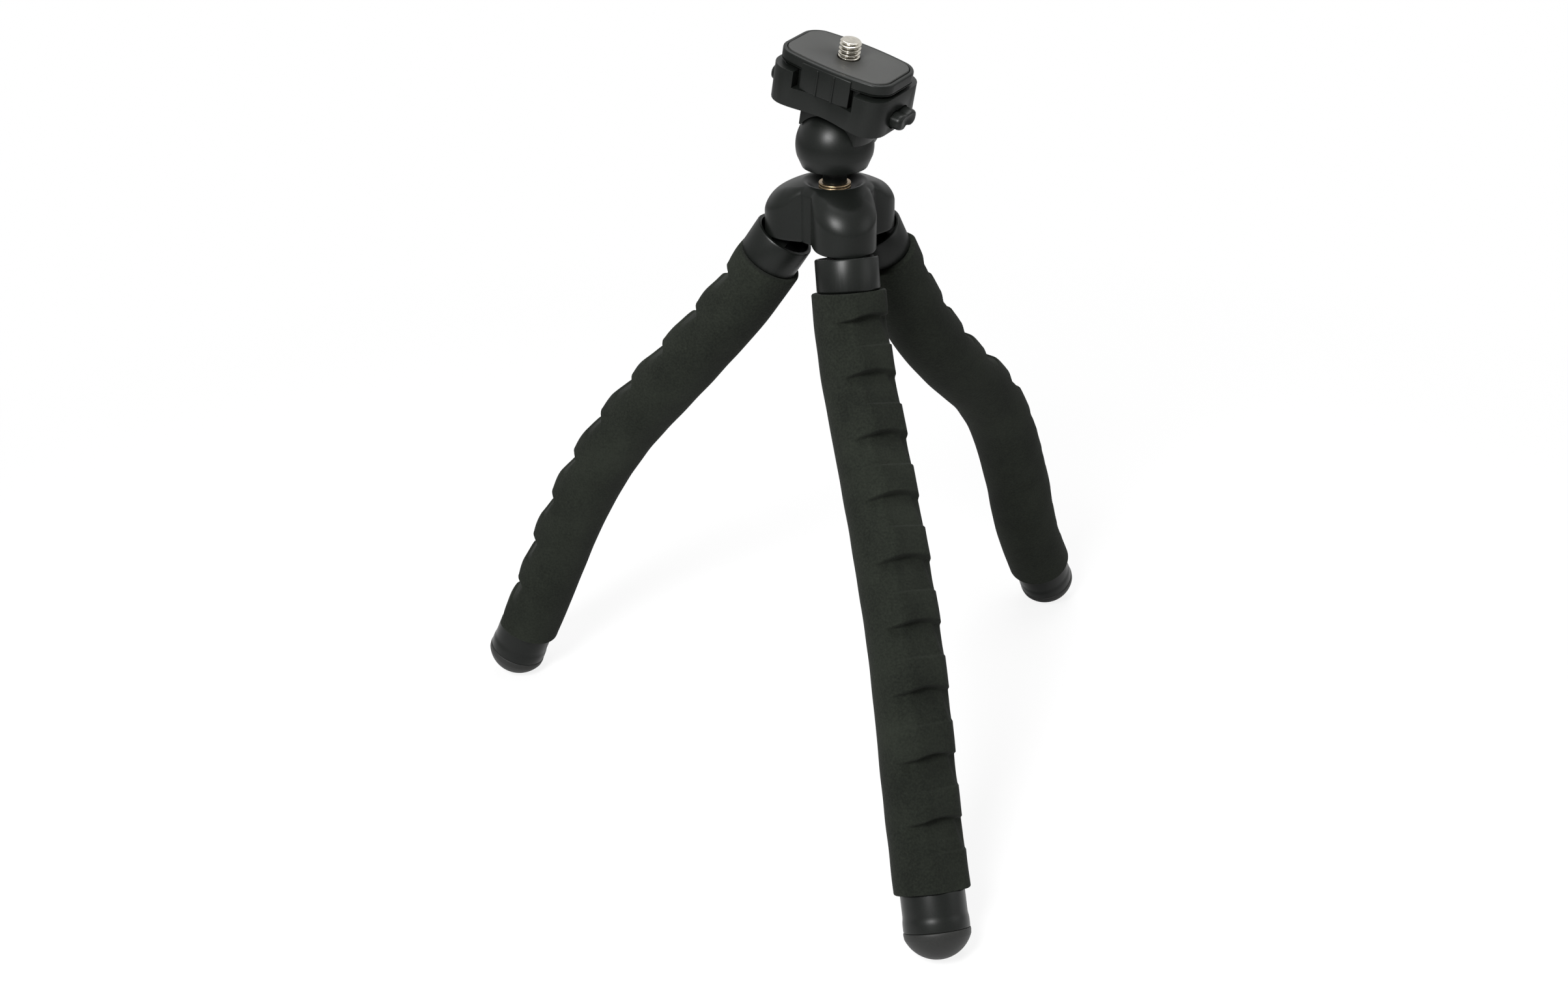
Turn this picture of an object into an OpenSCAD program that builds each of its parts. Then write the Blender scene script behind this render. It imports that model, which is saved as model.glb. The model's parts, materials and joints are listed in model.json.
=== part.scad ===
// Flexible leg tripod with a small ball head and a quick release plate. Units: mm.
// Origin: floor level, under the middle of the standing outline. +Z is up, the front leg points toward -Y.
// Each leg is drawn along its own curved axis. s is the length along that axis from the leg's hinge pin.

/* [Foam sleeves] */
// Outer diameter of a foam sleeve
sleeve_d = 22; // [18:0.5:24]
// Length of a foam sleeve along its axis
sleeve_l = 178; // [140:1:210]
// Rounding at both ends of a sleeve
sleeve_edge = 0.6; // [0.2:0.1:1.2]
// Number of grooves along the outward side
groove_n = 9; // [7:1:12]
// Depth of a groove
groove_depth = 2.2; // [1:0.1:3]
// Sleeve top to the first groove's centre
groove_first = 11.9; // [9:0.1:14]
// Last groove's centre to the sleeve's bottom
groove_last = 16.5; // [13:0.1:20]
// How far the foam between two grooves bulges
land_bulge = 0.25; // [0.05:0.05:0.6]

/* [Leg cores and collars] */
// Diameter of the bendable core
core_d = 5; // [3:0.1:6]
// Half of the gap in the core at the bend
core_gap = 1.8; // [1.7:0.1:3]
// Outer diameter of a leg collar
collar_d = 19; // [16:0.5:21]
// Visible length of a leg collar
collar_l = 10; // [8:0.5:13]
// Hinge pin to the rim of the collar's cup
cup_drop = 6.4; // [5:0.1:9]
// Wall of the collar's cup
cup_wall = 1.2; // [0.8:0.1:1.6]
// Depth of the collar's cup
cup_depth = 4.6; // [3:0.1:5.5]
// Diameter of the neck inside the foam
neck_d = 10; // [8:0.1:12]
// Edge break on moulded collars
edge_break = 0.5; // [0.2:0.1:0.8]
// Diameter of the tongue's eye
lug_d = 6.6; // [5:0.1:7.4]
// Width of the tongue along the hinge pin
lug_w = 6; // [4:0.1:8]
// Thickness of the tongue's web
web_t = 4.8; // [3:0.1:5.4]

/* [Feet] */
// Visible length of a foot's collar
foot_collar_l = 11; // [8:0.5:14]
// Largest diameter of a foot's collar
foot_collar_d = 19.5; // [17:0.1:21]
// Length of the rubber tip
tip_l = 8.5; // [7:0.1:10]
// Diameter of the rubber tip's lip
tip_d = 19.8; // [17:0.1:20.4]
// Radius of the rubber tip's dome
dome_r = 10.5; // [10.2:0.1:13]
// Diameter of the peg inside the rubber tip
peg_d = 11; // [8:0.5:13]

/* [Standing shape] */
// Direction of each leg about Z: front, left, right
leg_turns = [-90, 150, 30];
// Share of the sleeve's length at each tilt below
tilt_shares = [0, 0.04, 0.15, 0.4, 0.6, 0.8, 0.96, 1];
// Tilt of the front leg's axis from straight down, degrees
front_tilts = [18, 18, 35, 40, 35, 27, 34, 34];
// Tilt of the left leg's axis
left_tilts = [33, 33, 39, 41, 30, 22, 23, 23];
// Tilt of the right leg's axis
right_tilts = [29, 29, 34, 50, 26, 17, 29, 29];
// Share of the sleeve's length at each turn below
turn_shares = [0, 0.04, 0.33, 0.66, 0.96, 1];
// Sideways turn of the front leg's axis, degrees
front_turns = [0, 4, 3, -2, -1.5, -1.5];
// Sideways turn of the left leg's axis
left_turns = [0, 0, -9, -1, 12, 12];
// Sideways turn of the right leg's axis
right_turns = [0, 0, 3, 5, 6, 6];

/* [Hub] */
// Radius of the circle of hinge pins
hinge_ring_r = 12.2; // [11:0.1:14]
// Height of the hinge pins above the hub's underside
hinge_up = 4; // [3.8:0.1:5]
// Diameter of a hinge pin
pin_d = 3; // [2:0.1:3.4]
// Length of a hinge pin
pin_l = 14; // [12:0.5:16]
// Radius of the hub's middle
hub_r = 12; // [10:0.1:14]
// Radius of each of the three lobes
lobe_r = 9.4; // [8.8:0.1:9.6]
// Height of the dome's top above the hub's underside
hub_h = 19.1; // [18:0.1:21]
// Height of the dome at the outer side of a lobe
shoulder_up = 7.7; // [7:0.1:9]
// Radius of the flat dish in the dome's top
dish_r = 6.5; // [5.5:0.1:8]
// Depth of the dish below the dome's top
dish_in = 3.2; // [2.4:0.1:4]
// Radius of the recess under the hub
recess_r = 8.2; // [7:0.1:8.4]
// Depth of the recess under the hub
recess_h = 5; // [4.5:0.1:7]
// Thickness of the cap in the recess
cap_t = 1.2; // [0.8:0.1:1.6]

/* [Ball] */
// Diameter of the ball
ball_d = 23.4; // [20:0.1:25]
// Height of the ball's centre above the dome's top
ball_over = 9.1; // [9:0.1:13]
// Ball centre down to its flat
ball_flat = 6.5; // [5.5:0.1:8]
// Diameter of the stem under the ball
stem_d = 7.3; // [6:0.1:8]
// Diameter of the stem inside the hub
shank_d = 6; // [4.5:0.1:6.4]
// Outer diameter of the ring nut's flange
nut_d = 9.7; // [9:0.1:12]
// Height of the ring nut's flange
nut_flange_h = 1.7; // [1:0.1:2]
// Height of the whole ring nut
nut_h = 2.1; // [2:0.1:2.8]
// Diameter of the washer under the hub
washer_d = 10; // [8:0.1:12]
// Thickness of the washer
washer_t = 1; // [0.5:0.1:1.2]
// Diameter of the stem screw's shank
stem_screw_d = 2.5; // [2:0.1:3]

/* [Head] */
// Turn of the head about Z, degrees
head_turn = -46; // [-180:1:180]
// Tilt of the head about its long axis, degrees
head_roll = 4; // [-10:1:10]
// Tilt of the head about its short axis, degrees
head_pitch = 12; // [-10:1:20]
// Length of the receiver
receiver_l = 37.8; // [36:0.1:44]
// Width of the receiver
receiver_w = 25.6; // [25:0.1:30]
// Corner radius of the receiver
receiver_r = 6; // [3:0.1:7]
// Depth of the hollow waist in each long side
waist_in = 1.9; // [0.5:0.1:2]
// Ball centre to the receiver's underside
receiver_up = 12.5; // [12.4:0.1:14]
// Height of the receiver
receiver_h = 11; // [10.6:0.1:13]
// Ball centre to the lock screw's axis
lock_up = 2.6; // [0:0.1:2.7]
// Diameter of the lock knob
knob_d = 11; // [9:0.1:13]
// Thickness of the lock knob
knob_t = 4; // [3:0.1:6]
// Height of a release button
button_h = 5.2; // [4.4:0.1:5.4]
// Length of a release button
button_l = 10; // [9:0.1:14]
// How far a button stands out of the receiver
button_out = 3.8; // [2.4:0.1:4]
// Travel of a button
button_travel = 2; // [1.5:0.1:2.1]

/* [Plate] */
// Length of the plate's slab
slab_l = 36.9; // [35:0.1:38]
// Width of the plate's slab
slab_w = 23.2; // [21.4:0.1:25]
// How far each long side of the slab falls back toward its ends
slab_bow = 1.1; // [0.3:0.1:1.6]
// Corner radius of the slab
slab_r = 5; // [4.6:0.1:7]
// Thickness of the slab
slab_t = 3.2; // [3:0.1:4]
// Gap between the slab and the receiver
slab_gap = 1; // [0.4:0.1:1.4]
// Thickness of the grip pad
pad_t = 1.1; // [0.9:0.1:1.6]
// Diameter of the camera screw's thread
screw_d = 6.35; // [6.35]
// Height of the camera screw above the pad
screw_out = 5.1; // [4:0.1:5.5]
// Camera screw's place along the plate
screw_x = 0; // [-2:0.1:2]
// Camera screw's place across the plate
screw_y = 0; // [-2:0.1:2]

/* [Fits] */
// Running gap at each side of a turning fit
run_gap = 0.05; // [0.03:0.01:0.08]
// Gap between moving bodies
free_gap = 0.3; // [0.25:0.01:0.35]
// Gap between foam and what it holds
foam_gap = 0.1; // [0.05:0.01:0.2]
// Gap of a part that rests on another
rest_gap = 0.05; // [0.03:0.01:0.08]

/* [Hidden] */
front = 0;
left = 1;
right = 2;
round_sides = 64;
outer_sides = 24;
inner_sides = 8;
path_n = 110;
path_more = 8;
foam = [0.075, 0.08, 0.07];
shell = [0.16, 0.16, 0.165];
rubber = [0.1, 0.1, 0.1];
grip = [0.24, 0.24, 0.245];
steel = [0.72, 0.72, 0.7];
bronze = [0.55, 0.43, 0.3];

// Lengths along a leg
sleeve_s = cup_drop + collar_l;
sleeve_end_s = sleeve_s + sleeve_l;
tip_s = sleeve_end_s + foot_collar_l;
leg_s = tip_s + tip_l;
dome_s = leg_s - dome_r;
pitch = (sleeve_l - groove_first - groove_last) / (groove_n - 1);
groove_floor_share = 0.1;
groove_mouth_share = 0.24;
bend_i = floor((groove_n - 1) / 2);
bend_s = sleeve_s + groove_first + bend_i * pitch;
bend_from_s = bend_s - pitch / 2;
bend_to_s = bend_s + pitch / 2;
neck_share = 0.92;
neck_l = neck_share * (groove_first - groove_mouth_share * pitch);
neck_bore_r = (neck_d / 2 + foam_gap) / cos(180 / inner_sides);
core_bore_r = core_d / 2 + foam_gap;
core_start_s = cup_drop + cup_depth + cup_wall;
core_end_s = sleeve_end_s + foot_collar_l / 2;

// The leg's axis
tilt_lists = [front_tilts, left_tilts, right_tilts];
turn_lists = [front_turns, left_turns, right_turns];
tilt_rows = [for (t = tilt_lists) [for (i = [0 : len(t) - 1]) [tilt_shares[i], t[i]]]];
turn_rows = [for (t = turn_lists) [for (i = [0 : len(t) - 1]) [turn_shares[i], t[i]]]];
step_s = dome_s / path_n;

function total(v, i = 0, sum = 0) = i == len(v) ? sum : total(v, i + 1, sum + v[i]);

function share_at(s) = (s - sleeve_s) / sleeve_l;

function free_tilt(k, s) = lookup(share_at(s), tilt_rows[k]);

function turn(k, s) = leg_turns[k] + lookup(share_at(s), turn_rows[k]);

// Drop and run of each leg down to its dome's centre
drops = [for (k = [0 : 2]) step_s * total([for (i = [0 : path_n - 1]) cos(free_tilt(k, (i + 0.5) * step_s))])];
runs = [for (k = [0 : 2]) step_s * total([for (i = [0 : path_n - 1]) sin(free_tilt(k, (i + 0.5) * step_s))])];
hinge_z = drops[front] + dome_r;

// Small tilt added to a whole leg so that its foot reaches the floor
trims = [for (k = [0 : 2]) acos(drops[front] / norm([drops[k], runs[k]])) - atan2(runs[k], drops[k])];

function tilt(k, s) = free_tilt(k, s) + trims[k];

function along(k, s) = [
  sin(tilt(k, s)) * cos(turn(k, s)),
  sin(tilt(k, s)) * sin(turn(k, s)),
  -cos(tilt(k, s))
];

function outward(k, s) = [
  cos(tilt(k, s)) * cos(turn(k, s)),
  cos(tilt(k, s)) * sin(turn(k, s)),
  sin(tilt(k, s))
];

function sideways(k, s) = [-sin(turn(k, s)), cos(turn(k, s)), 0];

function hinge(k) = [hinge_ring_r * cos(leg_turns[k]), hinge_ring_r * sin(leg_turns[k]), hinge_z];

function trace(k) = [
  for (i = 0, s = 0, p = hinge(k); i <= path_n + path_more; p = p + step_s * along(k, s + step_s / 2), s = s + step_s, i = i + 1)
    [s, p[0], p[1], p[2]]
];

traces = [for (k = [0 : 2]) trace(k)];
rows_x = [for (t = traces) [for (r = t) [r[0], r[1]]]];
rows_y = [for (t = traces) [for (r = t) [r[0], r[2]]]];
rows_z = [for (t = traces) [for (r = t) [r[0], r[3]]]];

// The feet say where the middle of the standing outline is
foot_x = [for (k = [0 : 2]) lookup(dome_s, rows_x[k])];
foot_y = [for (k = [0 : 2]) lookup(dome_s, rows_y[k])];
stand_x = -(max(foot_x) + min(foot_x)) / 2;
stand_y = -(max(foot_y) + min(foot_y)) / 2;

function at(k, s) = [
  lookup(s, rows_x[k]) + stand_x,
  lookup(s, rows_y[k]) + stand_y,
  lookup(s, rows_z[k])
];

// Heights of the hub and the ball
hub_z = hinge_z - hinge_up;
ball_r = ball_d / 2;
ball_up = hub_h + ball_over;
ball_z = hub_z + ball_up;
socket_r = ball_r + free_gap;
hub_rim_r = hinge_ring_r + lobe_r;
hub_rise = hub_h - shoulder_up;
hub_dome_r = (hub_rim_r * hub_rim_r + hub_rise * hub_rise) / (2 * hub_rise);
dish_up = hub_h - dish_in;

// Walls and small sizes of the receiver
receiver_floor_t = 4;
end_wall_t = 2.8;
side_wall_t = 3.2;
cavity_corner_share = 0.5;
window_l = 20.4;
window_sill = 2;
button_floor_t = 1.1;
button_dent = 0.7;
button_dent_share = 1.1;
button_web_share = 0.9;

// Latch sliders and their springs
slider_h = 1.8;
slider_w = 8;
slider_in = 9;
slider_side_gap = 0.25;
slider_low_gap = 0.2;
column_t = 1.5;
tooth_out = 1;
tooth_h = 0.7;
ledge_h = 0.95;
spring_in = 3.2;
spring_r = 0.8;
spring_wire_r = 0.18;
spring_turns = 5;
spring_step = 36;

// Small sizes of the plate, its screw and its clip
foot_l = 26;
foot_h = 3.45;
tab_out = 2;
tab_side_gap = 2;
rib_n = 2;
rib_r = 0.4;
side_steps = 6;
corner_step = 15;
pad_sink = 0.8;
slab_rim = 1.3;
screw_head_d = 10;
screw_head_h = 2;
screw_head_in = 1.2;
coin_slot_w = 1.4;
clip_t = 0.4;
clip_d = 8.6;
clip_room_h = 0.9;
clip_lift = 0.3;
clip_groove = 0.4;
shank_in = 0.35;

// Small sizes of the socket and its lock
neck_inset = 0.6;
neck_rise = 5;
wall_t = 1.4;
wall_fall = 4;
wall_from = 60;
wall_to = 150;
neck_front = 6;
brake_r = 4.5;
brake_t = 1.2;
pocket_gap = 0.1;
boss_wall = 2;
boss_back = 1.3;
boss_overlap = 4;
lock_r = 1.5;
knob_gap = 0.2;
knob_depth_share = 0.8;
flute_n = 12;
flute_r = 0.9;
flute_out = 0.4;
neck_screw_x = 5.5;
neck_screw_y = 7.2;
neck_screw_r = 0.8;
neck_screw_l = 5.6;
neck_screw_head_r = 1.5;
neck_screw_head_h = 1.1;
neck_screw_sink = 0.1;

// Small sizes of the hub
slot_wall = 1.6;
pin_mouth_share = 0.87;
stem_head_r_share = 1.1;
stem_head_h_share = 0.7;
stem_socket_share = 0.8;

// Shares of the foot collar's height and of the foam's bulge
foot_collar_step_share = 0.6;
foot_collar_full_share = 0.75;
first_land_share = 0.8;
neck_land_share = 0.6;

// Heights in the head's own frame, above the ball's centre
receiver_top = receiver_up + receiver_h;
floor_up = receiver_up + receiver_floor_t;
cavity_l = receiver_l - 2 * end_wall_t;
cavity_w = receiver_w - 2 * side_wall_t;
cavity_r = receiver_r * cavity_corner_share;
foot_w = cavity_w - 2 * free_gap;
foot_up = floor_up + rest_gap;
body_l = cavity_l - 2 * free_gap;
slab_up = receiver_top + slab_gap;
slab_top = slab_up + slab_t;
pad_up = slab_top - pad_sink;
pad_top = pad_up + pad_t;
pad_l = slab_l - 2 * slab_rim;
pad_w = slab_w - 2 * slab_rim;
pad_r = slab_r - slab_rim;
screw_r = screw_d / 2;
shank_r = screw_r - shank_in;
screw_head_up = foot_up + screw_head_in;
screw_top = pad_top + screw_out;
clip_up = pad_up - clip_room_h + clip_lift;
window_up = floor_up + window_sill;
tab_l = window_l - 2 * tab_side_gap;
tab_w = cavity_w + 2 * tab_out;
tab_up = window_up + 2 * rest_gap;
button_up = receiver_up + button_floor_t + button_h / 2;
button_in = cavity_l / 2 + free_gap;
button_end = receiver_l / 2 + button_out;
button_gap = 3 * run_gap;
slider_up = receiver_up + button_floor_t;
tooth_up = foot_up + ledge_h + free_gap;
channel_up = slider_up - slider_low_gap;
channel_h = slider_h + 2 * slider_low_gap;
channel_w = slider_w + 2 * slider_side_gap;
spring_from = spring_in + spring_wire_r + rest_gap;
spring_to = slider_in - spring_wire_r - rest_gap;
spring_up = slider_up + slider_h / 2;
neck_r = socket_r - neck_inset;
wall_r = socket_r + wall_t;
brake_back = ball_r + brake_t;
boss_r = brake_r + boss_wall;
boss_y = brake_back + boss_back;
boss_up = lock_up / 4;
knob_in = boss_y + knob_gap;

// Places a leg's piece with its Z along the leg and its X toward the inside of the stand
module on_leg(k, s) {
  translate(at(k, s))
    rotate([0, 180 - tilt(k, s), turn(k, s)])
      children();
}

module on_hub(z = 0) {
  translate([stand_x, stand_y, hub_z + z])
    children();
}

// Places a head's piece: Z through the plate, X along it, from the ball's centre
module on_head(up = 0) {
  translate([stand_x, stand_y, ball_z])
    rotate([0, 0, head_turn])
      rotate([head_roll, 0, 0])
        rotate([0, head_pitch, 0])
          translate([0, 0, up])
            children();
}

module rod(r, h) {
  cylinder(r = r, h = h, $fn = round_sides);
}

module ball(r) {
  sphere(r = r, $fn = round_sides);
}

module rounded(l, w, r) {
  square([l - 2 * r, w], center = true);
  square([l, w - 2 * r], center = true);
  for (x = [-1, 1])
    for (y = [-1, 1])
      translate([x * (l / 2 - r), y * (w / 2 - r)])
        circle(r = r, $fn = round_sides);
}

module slab(l, w, r, h) {
  linear_extrude(height = h)
    rounded(l, w, r);
}

// Stations along the long side of an outline, closer together round its corners
function side_x(l, r) = let (flat_l = l / 2 - r) concat(
  [for (a = [90 : -corner_step : corner_step]) -flat_l - r * sin(a)],
  [for (i = [-side_steps : side_steps]) flat_l * i / side_steps],
  [for (a = [corner_step : corner_step : 90]) flat_l + r * sin(a)]
);

// Half the width at a station: bow draws the ends in, waist draws the middle in
function side_y(x, l, w, r, bow, waist) = let (
  t = abs(x) / (l / 2 - r),
  c = max(abs(x) - l / 2 + r, 0)
) w / 2 - bow * t * t - waist * (1 + cos(180 * min(t, 1))) / 2 - r + sqrt(max(r * r - c * c, 0));

module outline(l, w, r, bow, waist, h) {
  xs = side_x(l, r);
  linear_extrude(height = h)
    polygon(concat(
      [for (x = xs) [x, -side_y(x, l, w, r, bow, waist)]],
      [for (i = [len(xs) - 1 : -1 : 0]) [xs[i], side_y(xs[i], l, w, r, bow, waist)]]
    ));
}

module middle_box(l, w, h) {
  translate([-l / 2, -w / 2, 0])
    cube([l, w, h]);
}

// Rings of a swept sleeve: [s, outer radius, depth of cut on the outward side, bore radius]
sleeve_r = sleeve_d / 2;

function land_r(share) = sleeve_r - land_bulge * (1 - share);

function groove_rings(i) = let (c = sleeve_s + groove_first + i * pitch) [
  [c - groove_mouth_share * pitch, land_r(0), 0, core_bore_r],
  [c - groove_floor_share * pitch, land_r(0), groove_depth, core_bore_r],
  [c + groove_floor_share * pitch, land_r(0), groove_depth, core_bore_r],
  [c + groove_mouth_share * pitch, land_r(0), 0, core_bore_r]
];

function land_ring(i) = [[sleeve_s + groove_first + (i + 0.5) * pitch, land_r(1), 0, core_bore_r]];

function flat(v) = [for (a = v) for (b = a) b];

top_rings = [
  [sleeve_s, sleeve_r - sleeve_edge, 0, neck_bore_r],
  [sleeve_s + sleeve_edge, land_r(first_land_share), 0, neck_bore_r],
  [sleeve_s + neck_l + foam_gap, land_r(neck_land_share), 0, neck_bore_r]
];
bottom_rings = [
  [sleeve_end_s - neck_l - foam_gap, land_r(1), 0, neck_bore_r],
  [sleeve_end_s - sleeve_edge, land_r(1), 0, neck_bore_r],
  [sleeve_end_s, sleeve_r - sleeve_edge, 0, neck_bore_r]
];
upper_rings = concat(
  top_rings,
  flat([for (i = [0 : bend_i - 1]) concat(groove_rings(i), i < bend_i - 1 ? land_ring(i) : [])]),
  [[bend_from_s, land_r(1), 0, core_bore_r]]
);
bend_rings = concat(
  [[bend_from_s + foam_gap, land_r(1), 0, core_bore_r]],
  groove_rings(bend_i),
  [[bend_to_s - foam_gap, land_r(1), 0, core_bore_r]]
);
lower_rings = concat(
  [[bend_to_s, land_r(1), 0, core_bore_r]],
  flat([for (i = [bend_i + 1 : groove_n - 1]) concat(groove_rings(i), i < groove_n - 1 ? land_ring(i) : [])]),
  bottom_rings
);

function outer_point(k, ring, a) = let (
  u = min(ring[1] * cos(a), ring[1] - ring[2]),
  v = ring[1] * sin(a)
) at(k, ring[0]) + u * outward(k, ring[0]) + v * sideways(k, ring[0]);

function inner_point(k, ring, a) = at(k, ring[0])
  + ring[3] * cos(a) * outward(k, ring[0])
  + ring[3] * sin(a) * sideways(k, ring[0]);

// Side walls of a tube of rings, n points a ring, from point number o
function wall(n, rings_n, o, out) = [
  for (r = [0 : rings_n - 2])
    for (j = [0 : n - 1])
      let (
        a = o + r * n + j,
        b = o + r * n + (j + 1) % n,
        c = o + (r + 1) * n + (j + 1) % n,
        d = o + (r + 1) * n + j
      )
        for (f = out ? [[a, b, c], [a, c, d]] : [[a, c, b], [a, d, c]])
          f
];

// End face between an inner ring and an outer ring with three times as many points
function end_face(o, q, down) = [
  for (i = [0 : inner_sides - 1])
    let (
      m = outer_sides,
      a = q + i,
      b = q + (i + 1) % inner_sides,
      c = o + 3 * i,
      d = o + (3 * i + 1) % m,
      e = o + (3 * i + 2) % m,
      g = o + (3 * i + 3) % m
    )
      for (f = down ? [[a, c, d], [a, d, e], [a, e, b], [b, e, g]] : [[a, d, c], [a, e, d], [a, b, e], [b, g, e]])
        f
];

module sleeve(k, rings) {
  n = len(rings);
  outer = [for (r = rings) for (j = [0 : outer_sides - 1]) outer_point(k, r, j * 360 / outer_sides)];
  inner = [for (r = rings) for (j = [0 : inner_sides - 1]) inner_point(k, r, j * 360 / inner_sides)];
  q = len(outer);
  polyhedron(
    points = concat(outer, inner),
    faces = concat(
      wall(outer_sides, n, 0, true),
      wall(inner_sides, n, q, false),
      end_face(0, q, false),
      end_face((n - 1) * outer_sides, q + (n - 1) * inner_sides, true)
    )
  );
}

// A solid swept rod of eight sides along the leg
module core(k, s0, s1) {
  n = ceil((s1 - s0) / (pitch / 3)) + 1;
  list = [for (i = [0 : n - 1]) s0 + (s1 - s0) * i / (n - 1)];
  polyhedron(
    points = [
      for (s = list)
        for (j = [0 : inner_sides - 1])
          inner_point(k, [s, 0, 0, core_d / 2], j * 360 / inner_sides)
    ],
    faces = concat(
      wall(inner_sides, n, 0, true),
      [for (j = [1 : inner_sides - 2]) [0, j + 1, j]],
      [for (j = [1 : inner_sides - 2]) [(n - 1) * inner_sides, (n - 1) * inner_sides + j, (n - 1) * inner_sides + j + 1]]
    )
  );
}

module collar(k) {
  r = collar_d / 2;
  z0 = cup_drop;
  z1 = sleeve_s;
  floor_z = z0 + cup_depth;
  on_leg(k, 0)
    difference() {
      union() {
        rotate_extrude($fn = round_sides)
          polygon([
            [r - cup_wall, z0],
            [r - edge_break / 2, z0],
            [r, z0 + edge_break],
            [r, z1 - edge_break],
            [r - edge_break, z1],
            [neck_d / 2, z1],
            [neck_d / 2, z1 + neck_l],
            [core_d / 2 + run_gap, z1 + neck_l],
            [core_d / 2 + run_gap, core_start_s],
            [0, core_start_s],
            [0, floor_z],
            [r - cup_wall, floor_z]
          ]);
        translate([-web_t / 2, -lug_w / 2, 0])
          cube([web_t, lug_w, floor_z + cup_wall / 2]);
        translate([0, lug_w / 2, 0])
          rotate([90, 0, 0])
            rod(lug_d / 2, lug_w);
      }
      translate([0, lug_w, 0])
        rotate([90, 0, 0])
          rod(pin_d / 2 + run_gap, 2 * lug_w);
    }
}

module foot_collar(k) {
  r = foot_collar_d / 2;
  top_r = collar_d / 2;
  on_leg(k, sleeve_end_s)
    rotate_extrude($fn = round_sides)
      polygon([
        [core_d / 2 + run_gap, -neck_l],
        [neck_d / 2, -neck_l],
        [neck_d / 2, 0],
        [top_r - edge_break, 0],
        [top_r, edge_break],
        [top_r, foot_collar_l * foot_collar_step_share],
        [r, foot_collar_l * foot_collar_full_share],
        [r, foot_collar_l - edge_break],
        [r - edge_break, foot_collar_l],
        [peg_d / 2, foot_collar_l],
        [peg_d / 2, foot_collar_l + tip_l / 2],
        [0, foot_collar_l + tip_l / 2],
        [0, foot_collar_l * foot_collar_step_share],
        [core_d / 2 + run_gap, foot_collar_l * foot_collar_step_share]
      ]);
}

module foot_tip(k) {
  on_leg(k, tip_s)
    difference() {
      intersection() {
        rod(tip_d / 2, tip_l + edge_break);
        translate([0, 0, tip_l - dome_r])
          ball(dome_r);
      }
      translate([0, 0, -edge_break])
        rod(peg_d / 2 + run_gap, tip_l / 2 + edge_break + run_gap);
    }
}

module hub_body() {
  color(shell)
    on_hub()
      difference() {
        intersection() {
          linear_extrude(height = hub_dome_r)
            union() {
              circle(r = hub_r, $fn = round_sides);
              for (k = [0 : 2])
                translate([hinge_ring_r * cos(leg_turns[k]), hinge_ring_r * sin(leg_turns[k])])
                  circle(r = lobe_r, $fn = round_sides);
            }
          translate([0, 0, hub_h - hub_dome_r])
            ball(hub_dome_r);
        }
        translate([0, 0, dish_up])
          rod(dish_r, hub_dome_r);
        translate([0, 0, -cap_t])
          rod(recess_r, recess_h + cap_t);
        rod(shank_d / 2 + run_gap, hub_dome_r);
        for (k = [0 : 2])
          rotate([0, 0, leg_turns[k]])
            translate([hinge_ring_r, 0, 0])
              hinge_slot();
      }
}

// Room for a tongue, and the snap groove for its pin, from the pin's place
module hinge_slot() {
  w = lug_w / 2 + free_gap;
  back = lug_d / 2 + free_gap;
  out = lobe_r - slot_wall;
  top = hinge_up + lug_d / 2 + 2 * free_gap;
  mouth = pin_mouth_share * pin_d;
  translate([-back, -w, -cap_t])
    cube([back + out, 2 * w, top + cap_t]);
  translate([0, pin_l / 2 + run_gap, hinge_up])
    rotate([90, 0, 0])
      rod(pin_d / 2 + run_gap, pin_l + 2 * run_gap);
  translate([-mouth / 2, -pin_l / 2 - run_gap, -cap_t])
    cube([mouth, pin_l + 2 * run_gap, hinge_up + cap_t]);
}

module hinge_pins() {
  color(steel)
    for (k = [0 : 2])
      on_leg(k, 0)
        translate([0, pin_l / 2, 0])
          rotate([90, 0, 0])
            rod(pin_d / 2, pin_l);
}

module base_cap() {
  r = recess_r - run_gap;
  color(shell)
    on_hub()
      rotate_extrude($fn = round_sides)
        polygon([
          [0, 0],
          [r, 0],
          [r, recess_h / 2],
          [r - cap_t, recess_h / 2],
          [r - cap_t, cap_t],
          [0, cap_t]
        ]);
}

module stem_nut() {
  color(bronze)
    on_hub(dish_up)
      rotate_extrude($fn = round_sides)
        polygon([
          [stem_d / 2 + run_gap, 0],
          [nut_d / 2, 0],
          [nut_d / 2, nut_flange_h - edge_break / 2],
          [nut_d / 2 - edge_break / 2, nut_flange_h],
          [nut_d / 2 - edge_break, nut_flange_h],
          [nut_d / 2 - edge_break, nut_h],
          [stem_d / 2 + run_gap, nut_h]
        ]);
}

module ball_stem() {
  shank_low = recess_h + run_gap;
  color(shell)
    on_hub()
      difference() {
        union() {
          translate([0, 0, ball_up])
            intersection() {
              ball(ball_r);
              translate([0, 0, -ball_flat])
                rod(ball_d, ball_d);
            }
          translate([0, 0, dish_up + run_gap])
            rod(stem_d / 2, ball_up - dish_up - ball_flat / 2);
          translate([0, 0, shank_low])
            rod(shank_d / 2, dish_up);
        }
        translate([0, 0, shank_low - cap_t])
          rod(stem_screw_d / 2 + run_gap, dish_up - shank_low);
      }
}

washer_z = recess_h - washer_t - run_gap;

module stem_washer() {
  color(steel)
    on_hub(washer_z)
      difference() {
        rod(washer_d / 2, washer_t);
        translate([0, 0, -washer_t])
          rod(stem_screw_d / 2 + run_gap, 3 * washer_t);
      }
}

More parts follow.
